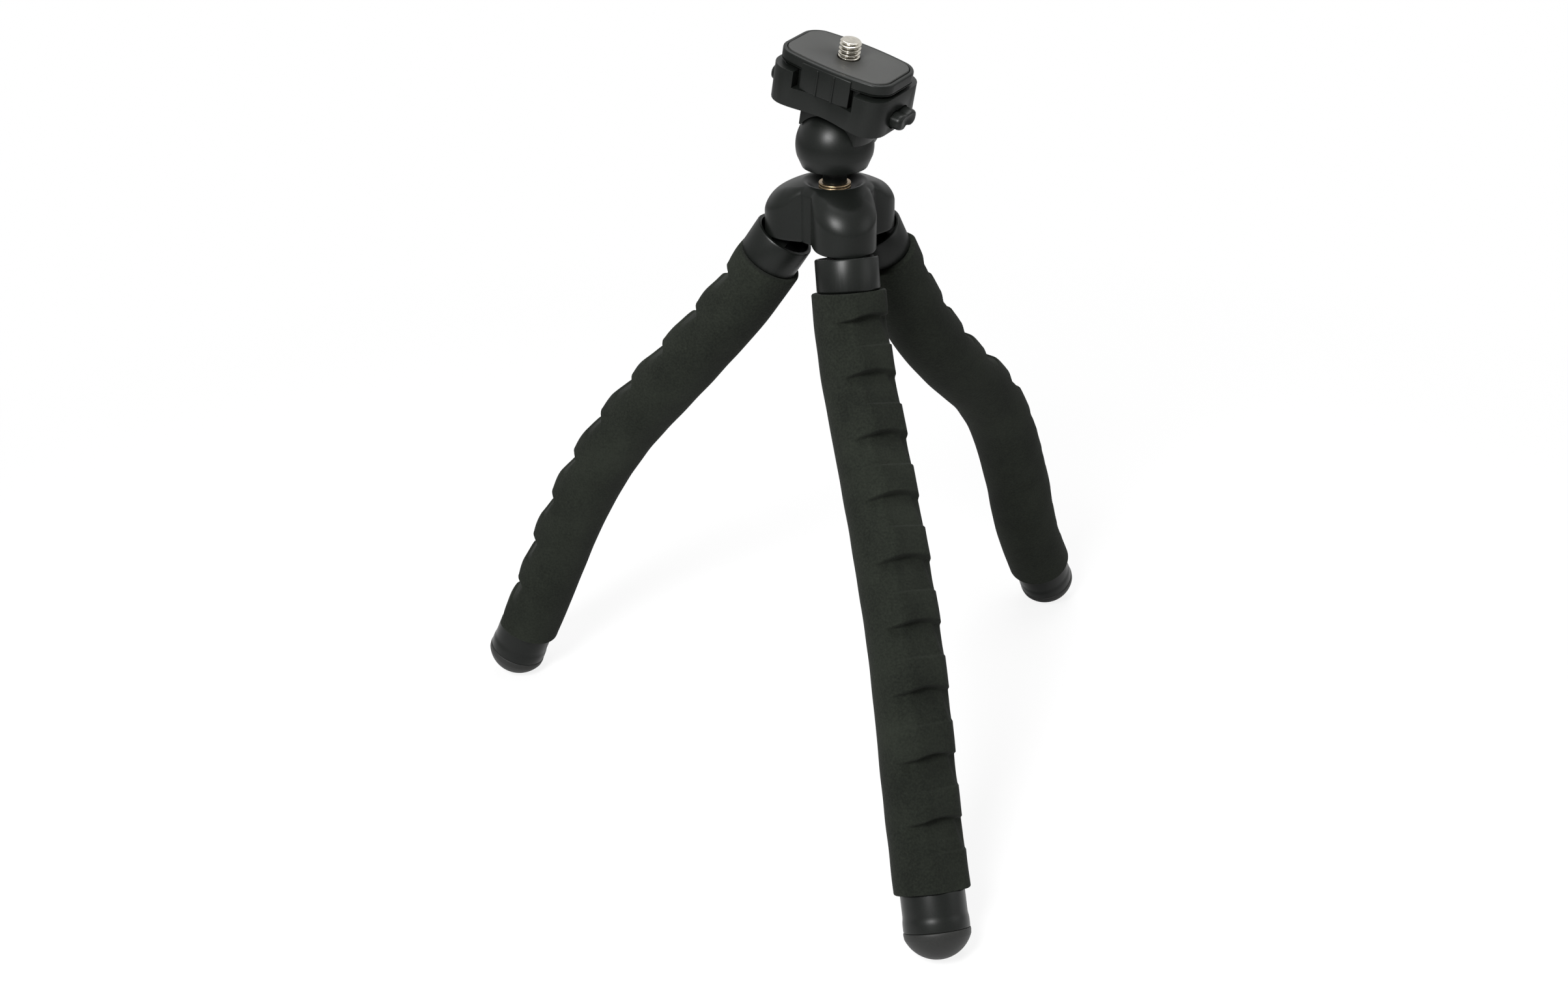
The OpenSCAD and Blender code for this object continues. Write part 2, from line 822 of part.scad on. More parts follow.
module stem_screw() {
  color(steel)
    on_hub(washer_z)
      difference() {
        union() {
          rod(stem_screw_d / 2, dish_up - recess_h - 2 * washer_t);
          translate([0, 0, -stem_screw_d * stem_head_h_share])
            rod(stem_screw_d * stem_head_r_share, stem_screw_d * stem_head_h_share);
        }
        translate([0, 0, -stem_screw_d])
          cylinder(d = stem_screw_d, h = stem_screw_d * stem_socket_share, $fn = 6);
      }
}

// Runs along the head's +Y
module across(y, h, r, up = 0) {
  translate([0, y, up])
    rotate([-90, 0, 0])
      rod(r, h);
}

module brake_pad() {
  color(rubber)
    on_head()
      difference() {
        across(ball_r / 2, brake_back - ball_r / 2, brake_r);
        ball(ball_r + run_gap);
      }
}

module socket_neck() {
  color(shell)
    on_head()
      difference() {
        union() {
          intersection() {
            translate([0, 0, neck_rise])
              rod(neck_r, receiver_up - neck_rise);
            translate([-ball_d, -neck_front, 0])
              cube([2 * ball_d, 2 * ball_d, ball_d]);
          }
          intersection() {
            translate([0, 0, -wall_fall])
              rod(wall_r, receiver_up + wall_fall);
            translate([0, 0, -wall_fall])
              linear_extrude(height = 2 * ball_d)
                polygon([
                  [0, 0],
                  2 * ball_d * [cos(wall_from), sin(wall_from)],
                  2 * ball_d * [cos((wall_from + wall_to) / 2), sin((wall_from + wall_to) / 2)],
                  2 * ball_d * [cos(wall_to), sin(wall_to)]
                ]);
          }
          across(brake_back - boss_overlap, boss_y - brake_back + boss_overlap, boss_r, boss_up);
        }
        ball(socket_r);
        across(0, brake_back + pocket_gap, brake_r + run_gap);
        across(0, ball_d, lock_r + run_gap, lock_up);
        for (x = [-1, 1])
          translate([x * neck_screw_x, neck_screw_y, neck_rise])
            rod(neck_screw_r + run_gap, ball_d);
      }
}

neck_screw_top = floor_up - neck_screw_sink;

module neck_screws() {
  color(steel)
    on_head(neck_screw_top)
      for (x = [-1, 1])
        translate([x * neck_screw_x, neck_screw_y, 0]) {
          translate([0, 0, -neck_screw_head_h])
            rod(neck_screw_head_r, neck_screw_head_h);
          translate([0, 0, -neck_screw_head_h - neck_screw_l])
            rod(neck_screw_r, neck_screw_l + neck_screw_head_h / 2);
        }
}

lock_tip = brake_back + rest_gap;

module lock_screw() {
  color(steel)
    on_head()
      across(lock_tip, knob_in + knob_t * knob_depth_share - lock_tip, lock_r, lock_up);
}

module lock_knob() {
  color(shell)
    on_head()
      translate([0, knob_in, lock_up])
        rotate([-90, 0, 0])
          difference() {
            rod(knob_d / 2, knob_t);
            translate([0, 0, -knob_t])
              rod(lock_r + run_gap, knob_t + knob_t * knob_depth_share + run_gap);
            for (i = [0 : flute_n - 1])
              rotate([0, 0, i * 360 / flute_n])
                translate([knob_d / 2 + flute_out, 0, -knob_t / 2])
                  rod(flute_r, 2 * knob_t);
          }
}

module button_outline(grow) {
  r = button_h / 2 + grow;
  y = button_l / 2 - button_h / 2;
  square([button_h * button_web_share + 2 * grow, 2 * y], center = true);
  for (i = [-1, 1])
    translate([0, i * y])
      circle(r = r, $fn = round_sides);
}

// Extrudes an outline from x0 to x1 along the head's X
module end_prism(x0, x1) {
  translate([x0, 0, button_up])
    rotate([0, 90, 0])
      linear_extrude(height = x1 - x0)
        children();
}

module receiver() {
  color(shell)
    on_head()
      difference() {
        translate([0, 0, receiver_up])
          outline(receiver_l, receiver_w, receiver_r, 0, waist_in, receiver_h);
        translate([0, 0, floor_up])
          slab(cavity_l, cavity_w, cavity_r, receiver_h);
        translate([0, 0, window_up])
          middle_box(window_l, 2 * receiver_w, receiver_h);
        for (turn = [0, 180])
          rotate([0, 0, turn]) {
            end_prism(button_in - button_travel - free_gap, receiver_l)
              button_outline(button_gap);
            translate([spring_in, -channel_w / 2, channel_up])
              cube([button_in - spring_in, channel_w, channel_h]);
            translate([slider_in - button_travel - free_gap, -channel_w / 2, channel_up])
              cube([column_t + tooth_out + button_travel + 2 * free_gap, channel_w, receiver_h]);
          }
        for (x = [-1, 1])
          translate([x * neck_screw_x, neck_screw_y, 0]) {
            rod(neck_screw_r + run_gap, receiver_top);
            translate([0, 0, neck_screw_top - neck_screw_head_h - run_gap])
              rod(neck_screw_head_r + 2 * run_gap, receiver_h);
          }
      }
}

module release_button(turn) {
  color(shell)
    on_head()
      rotate([0, 0, turn])
        difference() {
          end_prism(button_in, button_end)
            button_outline(0);
          translate([button_end + button_l * button_dent_share, 0, button_up])
            ball(button_l * button_dent_share + button_dent);
        }
}

module latch_slider(turn) {
  color(shell)
    on_head()
      rotate([0, 0, turn]) {
        translate([slider_in, -slider_w / 2, slider_up])
          cube([button_in - slider_in, slider_w, slider_h]);
        translate([slider_in, -slider_w / 2, slider_up])
          cube([column_t, slider_w, tooth_up + tooth_h - slider_up]);
        translate([slider_in, -slider_w / 2, tooth_up])
          cube([column_t + tooth_out, slider_w, tooth_h]);
      }
}

function coil_point(a, j) = let (
  t = a / (360 * spring_turns),
  r = spring_r + spring_wire_r * cos(j * 90)
) [
  spring_from + (spring_to - spring_from) * t + spring_wire_r * sin(j * 90),
  r * cos(a),
  spring_up + r * sin(a)
];

module button_spring(turn) {
  n = spring_turns * 360 / spring_step + 1;
  color(steel)
    on_head()
      rotate([0, 0, turn])
        polyhedron(
          points = [for (i = [0 : n - 1]) for (j = [0 : 3]) coil_point(i * spring_step, j)],
          faces = concat(
            wall(4, n, 0, false),
            [[0, 1, 2], [0, 2, 3]],
            [[4 * n - 4, 4 * n - 2, 4 * n - 3], [4 * n - 4, 4 * n - 1, 4 * n - 2]]
          )
        );
}

module quick_plate() {
  color(shell)
    on_head()
      difference() {
        union() {
          translate([0, 0, foot_up])
            middle_box(foot_l, foot_w, foot_h + free_gap);
          translate([0, 0, foot_up + foot_h])
            slab(body_l, foot_w, cavity_r, slab_up - foot_up - foot_h + free_gap);
          translate([0, 0, slab_up])
            outline(slab_l, slab_w, slab_r, slab_bow, 0, slab_t);
          translate([0, 0, tab_up])
            middle_box(tab_l, tab_w, slab_up - tab_up + free_gap);
          for (y = [-1, 1])
            for (i = [0 : rib_n - 1])
              translate([(i - (rib_n - 1) / 2) * tab_l / (rib_n + 1), y * (tab_w / 2), tab_up])
                rod(rib_r, slab_up - tab_up);
        }
        translate([0, 0, pad_up])
          outline(pad_l + 2 * run_gap, pad_w + 2 * run_gap, pad_r + run_gap, slab_bow, 0, slab_t);
        for (turn = [0, 180])
          rotate([0, 0, turn]) {
            translate([slider_in - button_travel - 2 * free_gap, -slider_w / 2 - free_gap, floor_up])
              cube([button_travel + column_t + 3 * free_gap, slider_w + 2 * free_gap, foot_h]);
            translate([slider_in - button_travel - 2 * free_gap, -slider_w / 2 - free_gap, foot_up + ledge_h])
              cube([
                button_travel + column_t + tooth_out + 3 * free_gap,
                slider_w + 2 * free_gap,
                tooth_h + 2 * free_gap
              ]);
          }
        translate([screw_x, screw_y, 0]) {
          translate([0, 0, floor_up])
            rod(screw_head_d / 2 + free_gap, screw_head_up + screw_head_h + free_gap - floor_up);
          rod(screw_r + 2 * run_gap, screw_top);
          translate([0, 0, pad_up - clip_room_h])
            rod(clip_d / 2 + free_gap, slab_t);
        }
      }
}

module plate_pad() {
  color(grip)
    on_head(pad_up)
      difference() {
        outline(pad_l, pad_w, pad_r, slab_bow, 0, pad_t);
        translate([screw_x, screw_y, -pad_t])
          rod(screw_r + free_gap, 3 * pad_t);
      }
}

module camera_screw() {
  color(steel)
    on_head()
      translate([screw_x, screw_y, 0])
        difference() {
          union() {
            translate([0, 0, screw_head_up])
              rod(screw_head_d / 2, screw_head_h);
            rotate_extrude($fn = round_sides)
              polygon([
                [0, screw_head_up + screw_head_h / 2],
                [shank_r, screw_head_up + screw_head_h / 2],
                [shank_r, clip_up],
                [shank_r - clip_groove, clip_up],
                [shank_r - clip_groove, clip_up + clip_t],
                [shank_r, clip_up + clip_t],
                [shank_r, pad_top + free_gap],
                [screw_r, pad_top + free_gap],
                [screw_r, screw_top - edge_break],
                [screw_r - edge_break, screw_top],
                [0, screw_top]
              ]);
          }
          translate([0, 0, screw_head_up - screw_head_h / 2])
            middle_box(2 * screw_head_d, coin_slot_w, screw_head_h);
        }
}

module screw_clip() {
  color(steel)
    on_head(clip_up + rest_gap)
      translate([screw_x, screw_y, 0])
        difference() {
          rod(clip_d / 2, clip_t - 2 * rest_gap);
          translate([0, 0, -clip_t])
            rod(shank_r - clip_groove + run_gap, 3 * clip_t);
        }
}

module left_release_button() { release_button(180); }

module right_release_button() { release_button(0); }

module left_latch_slider() { latch_slider(180); }

module right_latch_slider() { latch_slider(0); }

module left_button_spring() { button_spring(180); }

module right_button_spring() { button_spring(0); }

module front_collar() { color(shell) collar(front); }

module front_core_upper() { color(steel) core(front, core_start_s + run_gap, bend_s - core_gap); }

module front_core_lower() { color(steel) core(front, bend_s + core_gap, core_end_s); }

module front_sleeve_upper() { color(foam) sleeve(front, upper_rings); }

module front_sleeve_bend() { color(foam) sleeve(front, bend_rings); }

module front_sleeve_lower() { color(foam) sleeve(front, lower_rings); }

module front_foot_collar() { color(shell) foot_collar(front); }

module front_foot_tip() { color(rubber) foot_tip(front); }

module left_collar() { color(shell) collar(left); }

module left_core_upper() { color(steel) core(left, core_start_s + run_gap, bend_s - core_gap); }

module left_core_lower() { color(steel) core(left, bend_s + core_gap, core_end_s); }

module left_sleeve_upper() { color(foam) sleeve(left, upper_rings); }

module left_sleeve_bend() { color(foam) sleeve(left, bend_rings); }

module left_sleeve_lower() { color(foam) sleeve(left, lower_rings); }

module left_foot_collar() { color(shell) foot_collar(left); }

module left_foot_tip() { color(rubber) foot_tip(left); }

module right_collar() { color(shell) collar(right); }

module right_core_upper() { color(steel) core(right, core_start_s + run_gap, bend_s - core_gap); }

module right_core_lower() { color(steel) core(right, bend_s + core_gap, core_end_s); }

module right_sleeve_upper() { color(foam) sleeve(right, upper_rings); }

module right_sleeve_bend() { color(foam) sleeve(right, bend_rings); }

module right_sleeve_lower() { color(foam) sleeve(right, lower_rings); }

module right_foot_collar() { color(shell) foot_collar(right); }

module right_foot_tip() { color(rubber) foot_tip(right); }

hub_body();
hinge_pins();
base_cap();
stem_nut();
stem_washer();
stem_screw();
ball_stem();
brake_pad();
socket_neck();
neck_screws();
lock_screw();
lock_knob();
receiver();
left_release_button();
right_release_button();
left_latch_slider();
right_latch_slider();
left_button_spring();
right_button_spring();
quick_plate();
plate_pad();
camera_screw();
screw_clip();
front_collar();
front_core_upper();
front_core_lower();
front_sleeve_upper();
front_sleeve_bend();
front_sleeve_lower();
front_foot_collar();
front_foot_tip();
left_collar();
left_core_upper();
left_core_lower();
left_sleeve_upper();
left_sleeve_bend();
left_sleeve_lower();
left_foot_collar();
left_foot_tip();
right_collar();
right_core_upper();
right_core_lower();
right_sleeve_upper();
right_sleeve_bend();
right_sleeve_lower();
right_foot_collar();
right_foot_tip();
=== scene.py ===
# %% [markdown]
# # A flexible leg tripod with a small ball head
# The stand has three foam-covered legs with a bendable core, a moulded hub, a ball in an open socket,
# and a receiver that holds a quick release plate with a camera screw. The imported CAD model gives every
# piece its place. This script gives the pieces their fine shapes and their finishes.

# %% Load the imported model
import json
import math

import bmesh
import bpy
import numpy as np
from mathutils import Matrix, Vector

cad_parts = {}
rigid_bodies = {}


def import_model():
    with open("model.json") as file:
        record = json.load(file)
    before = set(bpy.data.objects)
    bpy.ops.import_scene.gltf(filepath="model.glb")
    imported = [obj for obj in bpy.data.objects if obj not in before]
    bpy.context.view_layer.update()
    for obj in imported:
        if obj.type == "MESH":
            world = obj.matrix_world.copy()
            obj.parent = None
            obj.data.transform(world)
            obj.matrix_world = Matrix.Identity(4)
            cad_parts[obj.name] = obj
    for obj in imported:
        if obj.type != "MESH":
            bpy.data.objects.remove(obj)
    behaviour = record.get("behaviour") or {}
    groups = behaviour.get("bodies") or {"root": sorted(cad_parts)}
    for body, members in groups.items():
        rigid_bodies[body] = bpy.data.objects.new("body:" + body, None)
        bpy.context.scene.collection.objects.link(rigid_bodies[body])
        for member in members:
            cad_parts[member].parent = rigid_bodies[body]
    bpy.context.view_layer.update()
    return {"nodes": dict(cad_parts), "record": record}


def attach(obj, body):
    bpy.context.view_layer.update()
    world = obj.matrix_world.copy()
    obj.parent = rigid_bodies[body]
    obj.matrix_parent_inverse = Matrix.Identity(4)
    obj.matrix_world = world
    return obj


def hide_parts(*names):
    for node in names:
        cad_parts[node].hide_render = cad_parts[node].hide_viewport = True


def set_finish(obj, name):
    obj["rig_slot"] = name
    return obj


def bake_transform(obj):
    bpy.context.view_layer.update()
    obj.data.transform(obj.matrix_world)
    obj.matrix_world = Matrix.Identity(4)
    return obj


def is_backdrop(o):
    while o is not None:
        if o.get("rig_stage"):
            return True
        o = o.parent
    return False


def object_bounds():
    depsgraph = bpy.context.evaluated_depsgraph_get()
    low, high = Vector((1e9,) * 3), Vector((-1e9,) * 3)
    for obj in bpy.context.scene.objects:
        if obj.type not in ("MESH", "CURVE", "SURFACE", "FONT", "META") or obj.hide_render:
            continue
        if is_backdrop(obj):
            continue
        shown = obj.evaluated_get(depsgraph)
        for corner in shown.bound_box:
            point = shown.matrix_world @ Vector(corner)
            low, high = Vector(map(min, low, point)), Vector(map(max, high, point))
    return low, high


MM = 0.001
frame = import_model()

# %% [markdown]
# ## The curved axis of a leg
# A leg is bent by hand, so its axis is a smooth curve. It is written as a tilt from straight down and a
# turn about Z at a few shares of the sleeve's length. Adding up small steps in that direction gives the
# curve. The same numbers shape the CAD solids, so the fine sleeves land where the plain ones lie.

# %% Sizes of the legs, in millimetres
LEGS = ("front", "left", "right")
SLEEVE_R, SLEEVE_L, SLEEVE_EDGE = 11.0, 178.0, 0.6
CUP_DROP, COLLAR_L, COLLAR_R = 6.4, 10.0, 9.5
FOOT_COLLAR_L, FOOT_COLLAR_R = 11.0, 9.75
TIP_L, TIP_R, DOME_R = 8.5, 9.9, 10.5
NECK_R, NECK_L, CORE_R, PEG_R = 5.0, 7.0, 2.5, 5.5
GROOVES, GROOVE_FIRST, GROOVE_LAST, GROOVE_ARCH = 9, 11.9, 16.5, 2.6
# One value a leg: a groove's depth, the turn of its middle about the leg, and the reach of its two ends.
GROOVE_DEPTHS, GROOVE_TURNS = (2.7, 2.9, 2.7), np.radians((25.0, 0.0, 0.0))
GROOVE_ENDS, GROOVE_FADE = np.radians((70.0, 56.0, 56.0)), math.radians(24)
LUG_R, LUG_HALF, FREE = 3.3, 3.0, 0.3
TONGUE_R, TONGUE_HALF, SLOT_TOP = LUG_R + FREE, LUG_HALF + FREE, 4.0 + LUG_R + 2 * FREE
HINGE_RING_R, HINGE_UP = 12.2, 4.0
SLEEVE_S = CUP_DROP + COLLAR_L
SLEEVE_END_S = SLEEVE_S + SLEEVE_L
TIP_S = SLEEVE_END_S + FOOT_COLLAR_L
LEG_S = TIP_S + TIP_L
DOME_S = LEG_S - DOME_R
PITCH = (SLEEVE_L - GROOVE_FIRST - GROOVE_LAST) / (GROOVES - 1)
BEND_S = SLEEVE_S + GROOVE_FIRST + (GROOVES - 1) // 2 * PITCH
print("groove pitch", round(PITCH, 2), "leg length", round(LEG_S, 1))

# %% The axis of each leg
LEG_TURNS = (-90.0, 150.0, 30.0)
TILT_SHARES = (0, 0.04, 0.15, 0.4, 0.6, 0.8, 0.96, 1)
TILTS = ((18, 18, 35, 40, 35, 27, 34, 34), (33, 33, 39, 41, 30, 22, 23, 23), (29, 29, 34, 50, 26, 17, 29, 29))
TURN_SHARES = (0, 0.04, 0.33, 0.66, 0.96, 1)
TURNS = ((0, 4, 3, -2, -1.5, -1.5), (0, 0, -9, -1, 12, 12), (0, 0, 3, 5, 6, 6))
STEPS, MORE = 110, 8
STEP = DOME_S / STEPS


def leg_angles(k, s, trim):
    """Tilt and turn of leg k at distance s, in radians: both follow straight lines between the listed shares."""
    share = (np.asarray(s, float) - SLEEVE_S) / SLEEVE_L
    tilt = np.interp(share, TILT_SHARES, TILTS[k]) + trim
    turn = np.interp(share, TURN_SHARES, TURNS[k]) + LEG_TURNS[k]
    return np.radians(tilt), np.radians(turn)


def leg_directions(k, s, trim=None):
    """Unit vectors at s: along the leg, outward across it, and sideways."""
    t, h = leg_angles(k, s, TRIMS[k] if trim is None else trim)
    along = np.stack([np.sin(t) * np.cos(h), np.sin(t) * np.sin(h), -np.cos(t)], -1)
    out = np.stack([np.cos(t) * np.cos(h), np.cos(t) * np.sin(h), np.sin(t)], -1)
    side = np.stack([-np.sin(h), np.cos(h), np.zeros_like(h)], -1)
    return along, out, side


middles = (np.arange(STEPS) + 0.5) * STEP
DROPS = [STEP * np.cos(leg_angles(k, middles, 0)[0]).sum() for k in range(3)]
RUNS = [STEP * np.sin(leg_angles(k, middles, 0)[0]).sum() for k in range(3)]
HINGE_Z = DROPS[0] + DOME_R
# A small trim of a whole leg lets its foot reach the floor.
TRIMS = [
    math.degrees(math.acos(DROPS[0] / math.hypot(DROPS[k], RUNS[k])) - math.atan2(RUNS[k], DROPS[k]))
    for k in range(3)
]
AXIS_S = np.arange(STEPS + MORE + 1) * STEP
AXES = []
for k in range(3):
    h = math.radians(LEG_TURNS[k])
    start = np.array([HINGE_RING_R * math.cos(h), HINGE_RING_R * math.sin(h), HINGE_Z])
    steps = STEP * leg_directions(k, AXIS_S[:-1] + STEP / 2)[0]
    AXES.append(np.vstack([start, start + np.cumsum(steps, 0)]))
feet = np.array([[np.interp(DOME_S, AXIS_S, AXES[k][:, i]) for i in range(2)] for k in range(3)])
STAND = np.array([*(-(feet.max(0) + feet.min(0)) / 2), 0.0])
HUB_Z = HINGE_Z - HINGE_UP
print("hinge height", round(HINGE_Z, 2), "hub axis at", STAND.round(2))


def leg_point(k, s):
    """Place on leg k's axis at distance s from the hinge pin."""
    return np.stack([np.interp(s, AXIS_S, AXES[k][:, i]) for i in range(3)], -1) + STAND


# %% [markdown]
# ## Surfaces from two parameters
# Most pieces here are surfaces worked out with numpy: a grid of points, one parameter along each side.
# Joining neighbouring points with quads gives a mesh, and closing the grid both ways gives a ring-shaped
# solid such as a sleeve with its bore. This keeps every shape exact and smooth without any modelling by hand.

# %% Helpers that turn a grid of points into a piece
MERGE = 1e-7  # in metres: points closer than this become one


def sheet_faces(rows, cols, close_rows):
    """Quads between neighbouring grid points. Each row is a ring. close_rows also joins the last row to the first."""
    r = np.arange(rows if close_rows else rows - 1)
    c = np.arange(cols)
    r0, c0 = np.meshgrid(r, c, indexing="ij")
    r1, c1 = (r0 + 1) % rows, (c0 + 1) % cols
    quads = np.stack([r0 * cols + c0, r1 * cols + c0, r1 * cols + c1, r0 * cols + c1], -1)
    return quads.reshape(-1, 4)


def new_piece(name, points, faces):
    """A mesh object at the origin with its place in its points, given in millimetres."""
    mesh = bpy.data.meshes.new(name)
    mesh.from_pydata((np.asarray(points) * MM).tolist(), [], [list(map(int, f)) for f in faces])
    mesh.update()
    piece = bpy.data.objects.new(name, mesh)
    bpy.context.collection.objects.link(piece)
    mesh.shade_smooth()
    return piece


def outward(piece):
    """Turns all faces so that the closed shell encloses a positive volume."""
    b = bmesh.new()
    b.from_mesh(piece.data)
    if b.calc_volume(signed=True) < 0:
        bmesh.ops.reverse_faces(b, faces=b.faces[:])
    b.to_mesh(piece.data)
    b.free()
    return piece


def grid_piece(name, grid):
    """A piece from points shaped (rows, columns, 3): rings whose last one joins the first, as round a tube wall."""
    return outward(new_piece(name, grid.reshape(-1, 3), sheet_faces(*grid.shape[:2], True)))


def poled_piece(name, grid):
    """A piece from rings whose first and last ring are each drawn together in one point, which is merged."""
    piece = new_piece(name, grid.reshape(-1, 3), sheet_faces(*grid.shape[:2], False))
    b = bmesh.new()
    b.from_mesh(piece.data)
    bmesh.ops.remove_doubles(b, verts=b.verts[:], dist=MERGE)
    bmesh.ops.dissolve_degenerate(b, edges=b.edges[:], dist=MERGE)
    b.to_mesh(piece.data)
    b.free()
    outward(piece)
    piece.data.shade_smooth()
    return piece


def sharp_edges(piece, degrees=35):
    """Keeps edges crisp where faces meet at more than this angle, and smooth elsewhere."""
    piece.data.set_sharp_from_angle(angle=math.radians(degrees))
    return piece


print("helpers ready")

# %% [markdown]
# ## Foam sleeves
# Each sleeve is closed-cell foam on a bendable core. Its outward side is flattened and has nine grooves, so
# the leg bends and grips better there. Each cut is a chord of the round section: what stands further out
# than the chord is taken off. A groove also takes its depth off the radius, fading out at its two ends.
# Along the leg a groove drops steeply under the land above it and then ramps out to the next land. A tiny
# irregular swelling keeps the foam from looking machined.

# %% The section of a sleeve
LAND_CUT, LAND_ROUND, SIDE_SWELL, CHORD_ROUND = 1.3, 0.4, 0.35, 0.7
# Shares of the pitch: half a groove, its steep drop, and the small step at its other end.
HALF_SHARE, DROP_SHARE, STEP_SHARE = 0.3, 0.05, 0.04
# The ramp starts this share before the groove's middle and gives back this much of the depth.
RAMP_FROM, RAMP_LOSS, WRAP_SHARE = 0.2, 0.75, 0.85
WAVES, WAVE_HIGH = 7, 0.025
AROUND, OUTER_RINGS, BORE_RINGS = 96, 760, 40
BORE_R, BORE_IN = NECK_R + 0.12, 0.3


def soft_min(a, b, width):
    """The smaller of two numbers, with the corner between them rounded over the given width."""
    d = np.clip(0.5 + 0.5 * (b - a) / width, 0, 1)
    return b * (1 - d) + a * d - width * d * (1 - d)


def smooth(t):
    """Runs from 0 to 1 with level ends: three times t squared, less twice t cubed."""
    t = np.clip(t, 0, 1)
    return t * t * (3 - 2 * t)


def groove_share(s, a):
    """Depth along the leg: a steep drop from the land above, then a slow ramp out to a small step. The drop
    is an arch: it lies further down the leg toward the groove's two ends."""
    place = (s - SLEEVE_S - GROOVE_FIRST) / PITCH
    x = place - np.clip(np.round(place), 0, GROOVES - 1)
    x = x - GROOVE_ARCH / PITCH * np.sin(a) ** 2 * np.clip(0.5 - x / (2 * HALF_SHARE), 0, 1)
    ramp = 1 - RAMP_LOSS * np.clip((x + RAMP_FROM) / (HALF_SHARE + RAMP_FROM), 0, 1)
    return smooth((x + HALF_SHARE) / DROP_SHARE) * ramp * smooth((HALF_SHARE - x) / STEP_SHARE)


def land_fall(s):
    """How far a land has rounded off, from 0 at its middle to 1 at its edges."""
    place = (s - SLEEVE_S - GROOVE_FIRST) / PITCH
    return np.clip(np.abs(place - np.floor(place) - 0.5) / (0.5 - HALF_SHARE), 0, 1) ** 2


def swelling(k, s, a):
    """The sum of a few slow waves along and around the leg, WAVE_HIGH each. They differ from leg to leg."""
    rng = np.random.default_rng(40 + k)
    total = 0
    for _ in range(WAVES):
        total = total + np.sin(s * rng.uniform(0.08, 0.5) + rng.integers(1, 5) * a + rng.uniform(0, 6.28))
    return WAVE_HIGH * total


def sleeve_grid(k):
    """Outer skin, end, bore and other end of one sleeve, as rings of points from the top down and back up."""
    inner = np.linspace(SLEEVE_END_S - BORE_IN, SLEEVE_S + BORE_IN, BORE_RINGS)
    roll = np.linspace(0, np.pi / 2, 6)
    top_s = SLEEVE_S + SLEEVE_EDGE * (1 - np.sin(roll))
    top_r = SLEEVE_R - SLEEVE_EDGE * (1 - np.cos(roll))
    outer_s = np.linspace(SLEEVE_S + SLEEVE_EDGE + 0.2, SLEEVE_END_S - SLEEVE_EDGE - 0.2, OUTER_RINGS)
    s = np.concatenate([top_s[::-1], outer_s, (SLEEVE_END_S + SLEEVE_S) - top_s, inner])
    r = np.concatenate([top_r[::-1], np.full(OUTER_RINGS, SLEEVE_R), top_r, np.full(BORE_RINGS, BORE_R)])
    skin = (np.arange(len(s)) < len(s) - BORE_RINGS)[:, None]
    a = np.arange(AROUND) * 2 * np.pi / AROUND
    S, A = np.meshgrid(s, a, indexing="ij")
    g = groove_share(S, A)
    swell = swelling(k, S, A)
    R = r[:, None] + np.where(skin, swell, 0)
    # A groove takes its depth off the radius, less and less toward its two ends.
    from_middle = np.abs((A + np.pi) % (2 * np.pi) - np.pi)
    wrap = g * smooth((GROOVE_ENDS[k] - from_middle) / GROOVE_FADE) * WRAP_SHARE * GROOVE_DEPTHS[k]
    R = R - np.where(skin, wrap, 0)
    # u points outward across the leg and v sideways. A chord at the limit takes off what stands further out.
    u, v = R * np.cos(A), (R + np.where(skin, SIDE_SWELL, 0)) * np.sin(A)
    limit = SLEEVE_R - LAND_CUT - LAND_ROUND * land_fall(S) - g * GROOVE_DEPTHS[k] + swell
    u = np.where(skin, soft_min(u, limit, CHORD_ROUND), u)
    c, d = math.cos(GROOVE_TURNS[k]), math.sin(GROOVE_TURNS[k])
    u, v = c * u - d * v, d * u + c * v
    centre = leg_point(k, s)[:, None, :]
    _, out, side = leg_directions(k, s)
    return centre + u[..., None] * out[:, None, :] + v[..., None] * side[:, None, :]


# %% Make the three sleeves
BLEND_REACH = 0.8 * PITCH
for k, leg in enumerate(LEGS):
    sleeve = grid_piece(f"{leg}_foam_sleeve", sleeve_grid(k))
    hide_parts(f"{leg}_sleeve_upper", f"{leg}_sleeve_bend", f"{leg}_sleeve_lower")
    start, end = leg_point(k, BEND_S - BLEND_REACH), leg_point(k, BEND_S + BLEND_REACH)
    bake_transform(sleeve)
    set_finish(sleeve, "foam")
    print(sleeve.name, len(sleeve.data.polygons), "quads")

# %% [markdown]
# ## Turned and moulded pieces
# The ball, the ring nut, the foot collars and the rubber tips are round about an axis. A round piece is a
# profile of radius and height, swept once about that axis. Small arcs are put at the profile's corners,
# because a moulded edge is never perfectly sharp and the arc is what catches the light.

# %% Helpers for profiles
def rounded_profile(corners, radii, steps=5):
    """Corner points (r, z), with each corner cut back by its radius along both sides and bridged by a quadratic
    curve that is pulled toward the corner."""
    pts = np.asarray(corners, float)
    out = []
    for i, p in enumerate(pts):
        if i in (0, len(pts) - 1) or radii[i] <= 0:
            out.append(p)
            continue
        a, b = pts[i - 1] - p, pts[i + 1] - p
        la, lb = np.linalg.norm(a), np.linalg.norm(b)
        back = min(radii[i], la * 0.49, lb * 0.49)
        p0, p1 = p + a / la * back, p + b / lb * back
        t = np.linspace(0, 1, steps)[:, None]
        out.extend((1 - t) ** 2 * p0 + 2 * t * (1 - t) * p + t**2 * p1)
    return np.array(out)


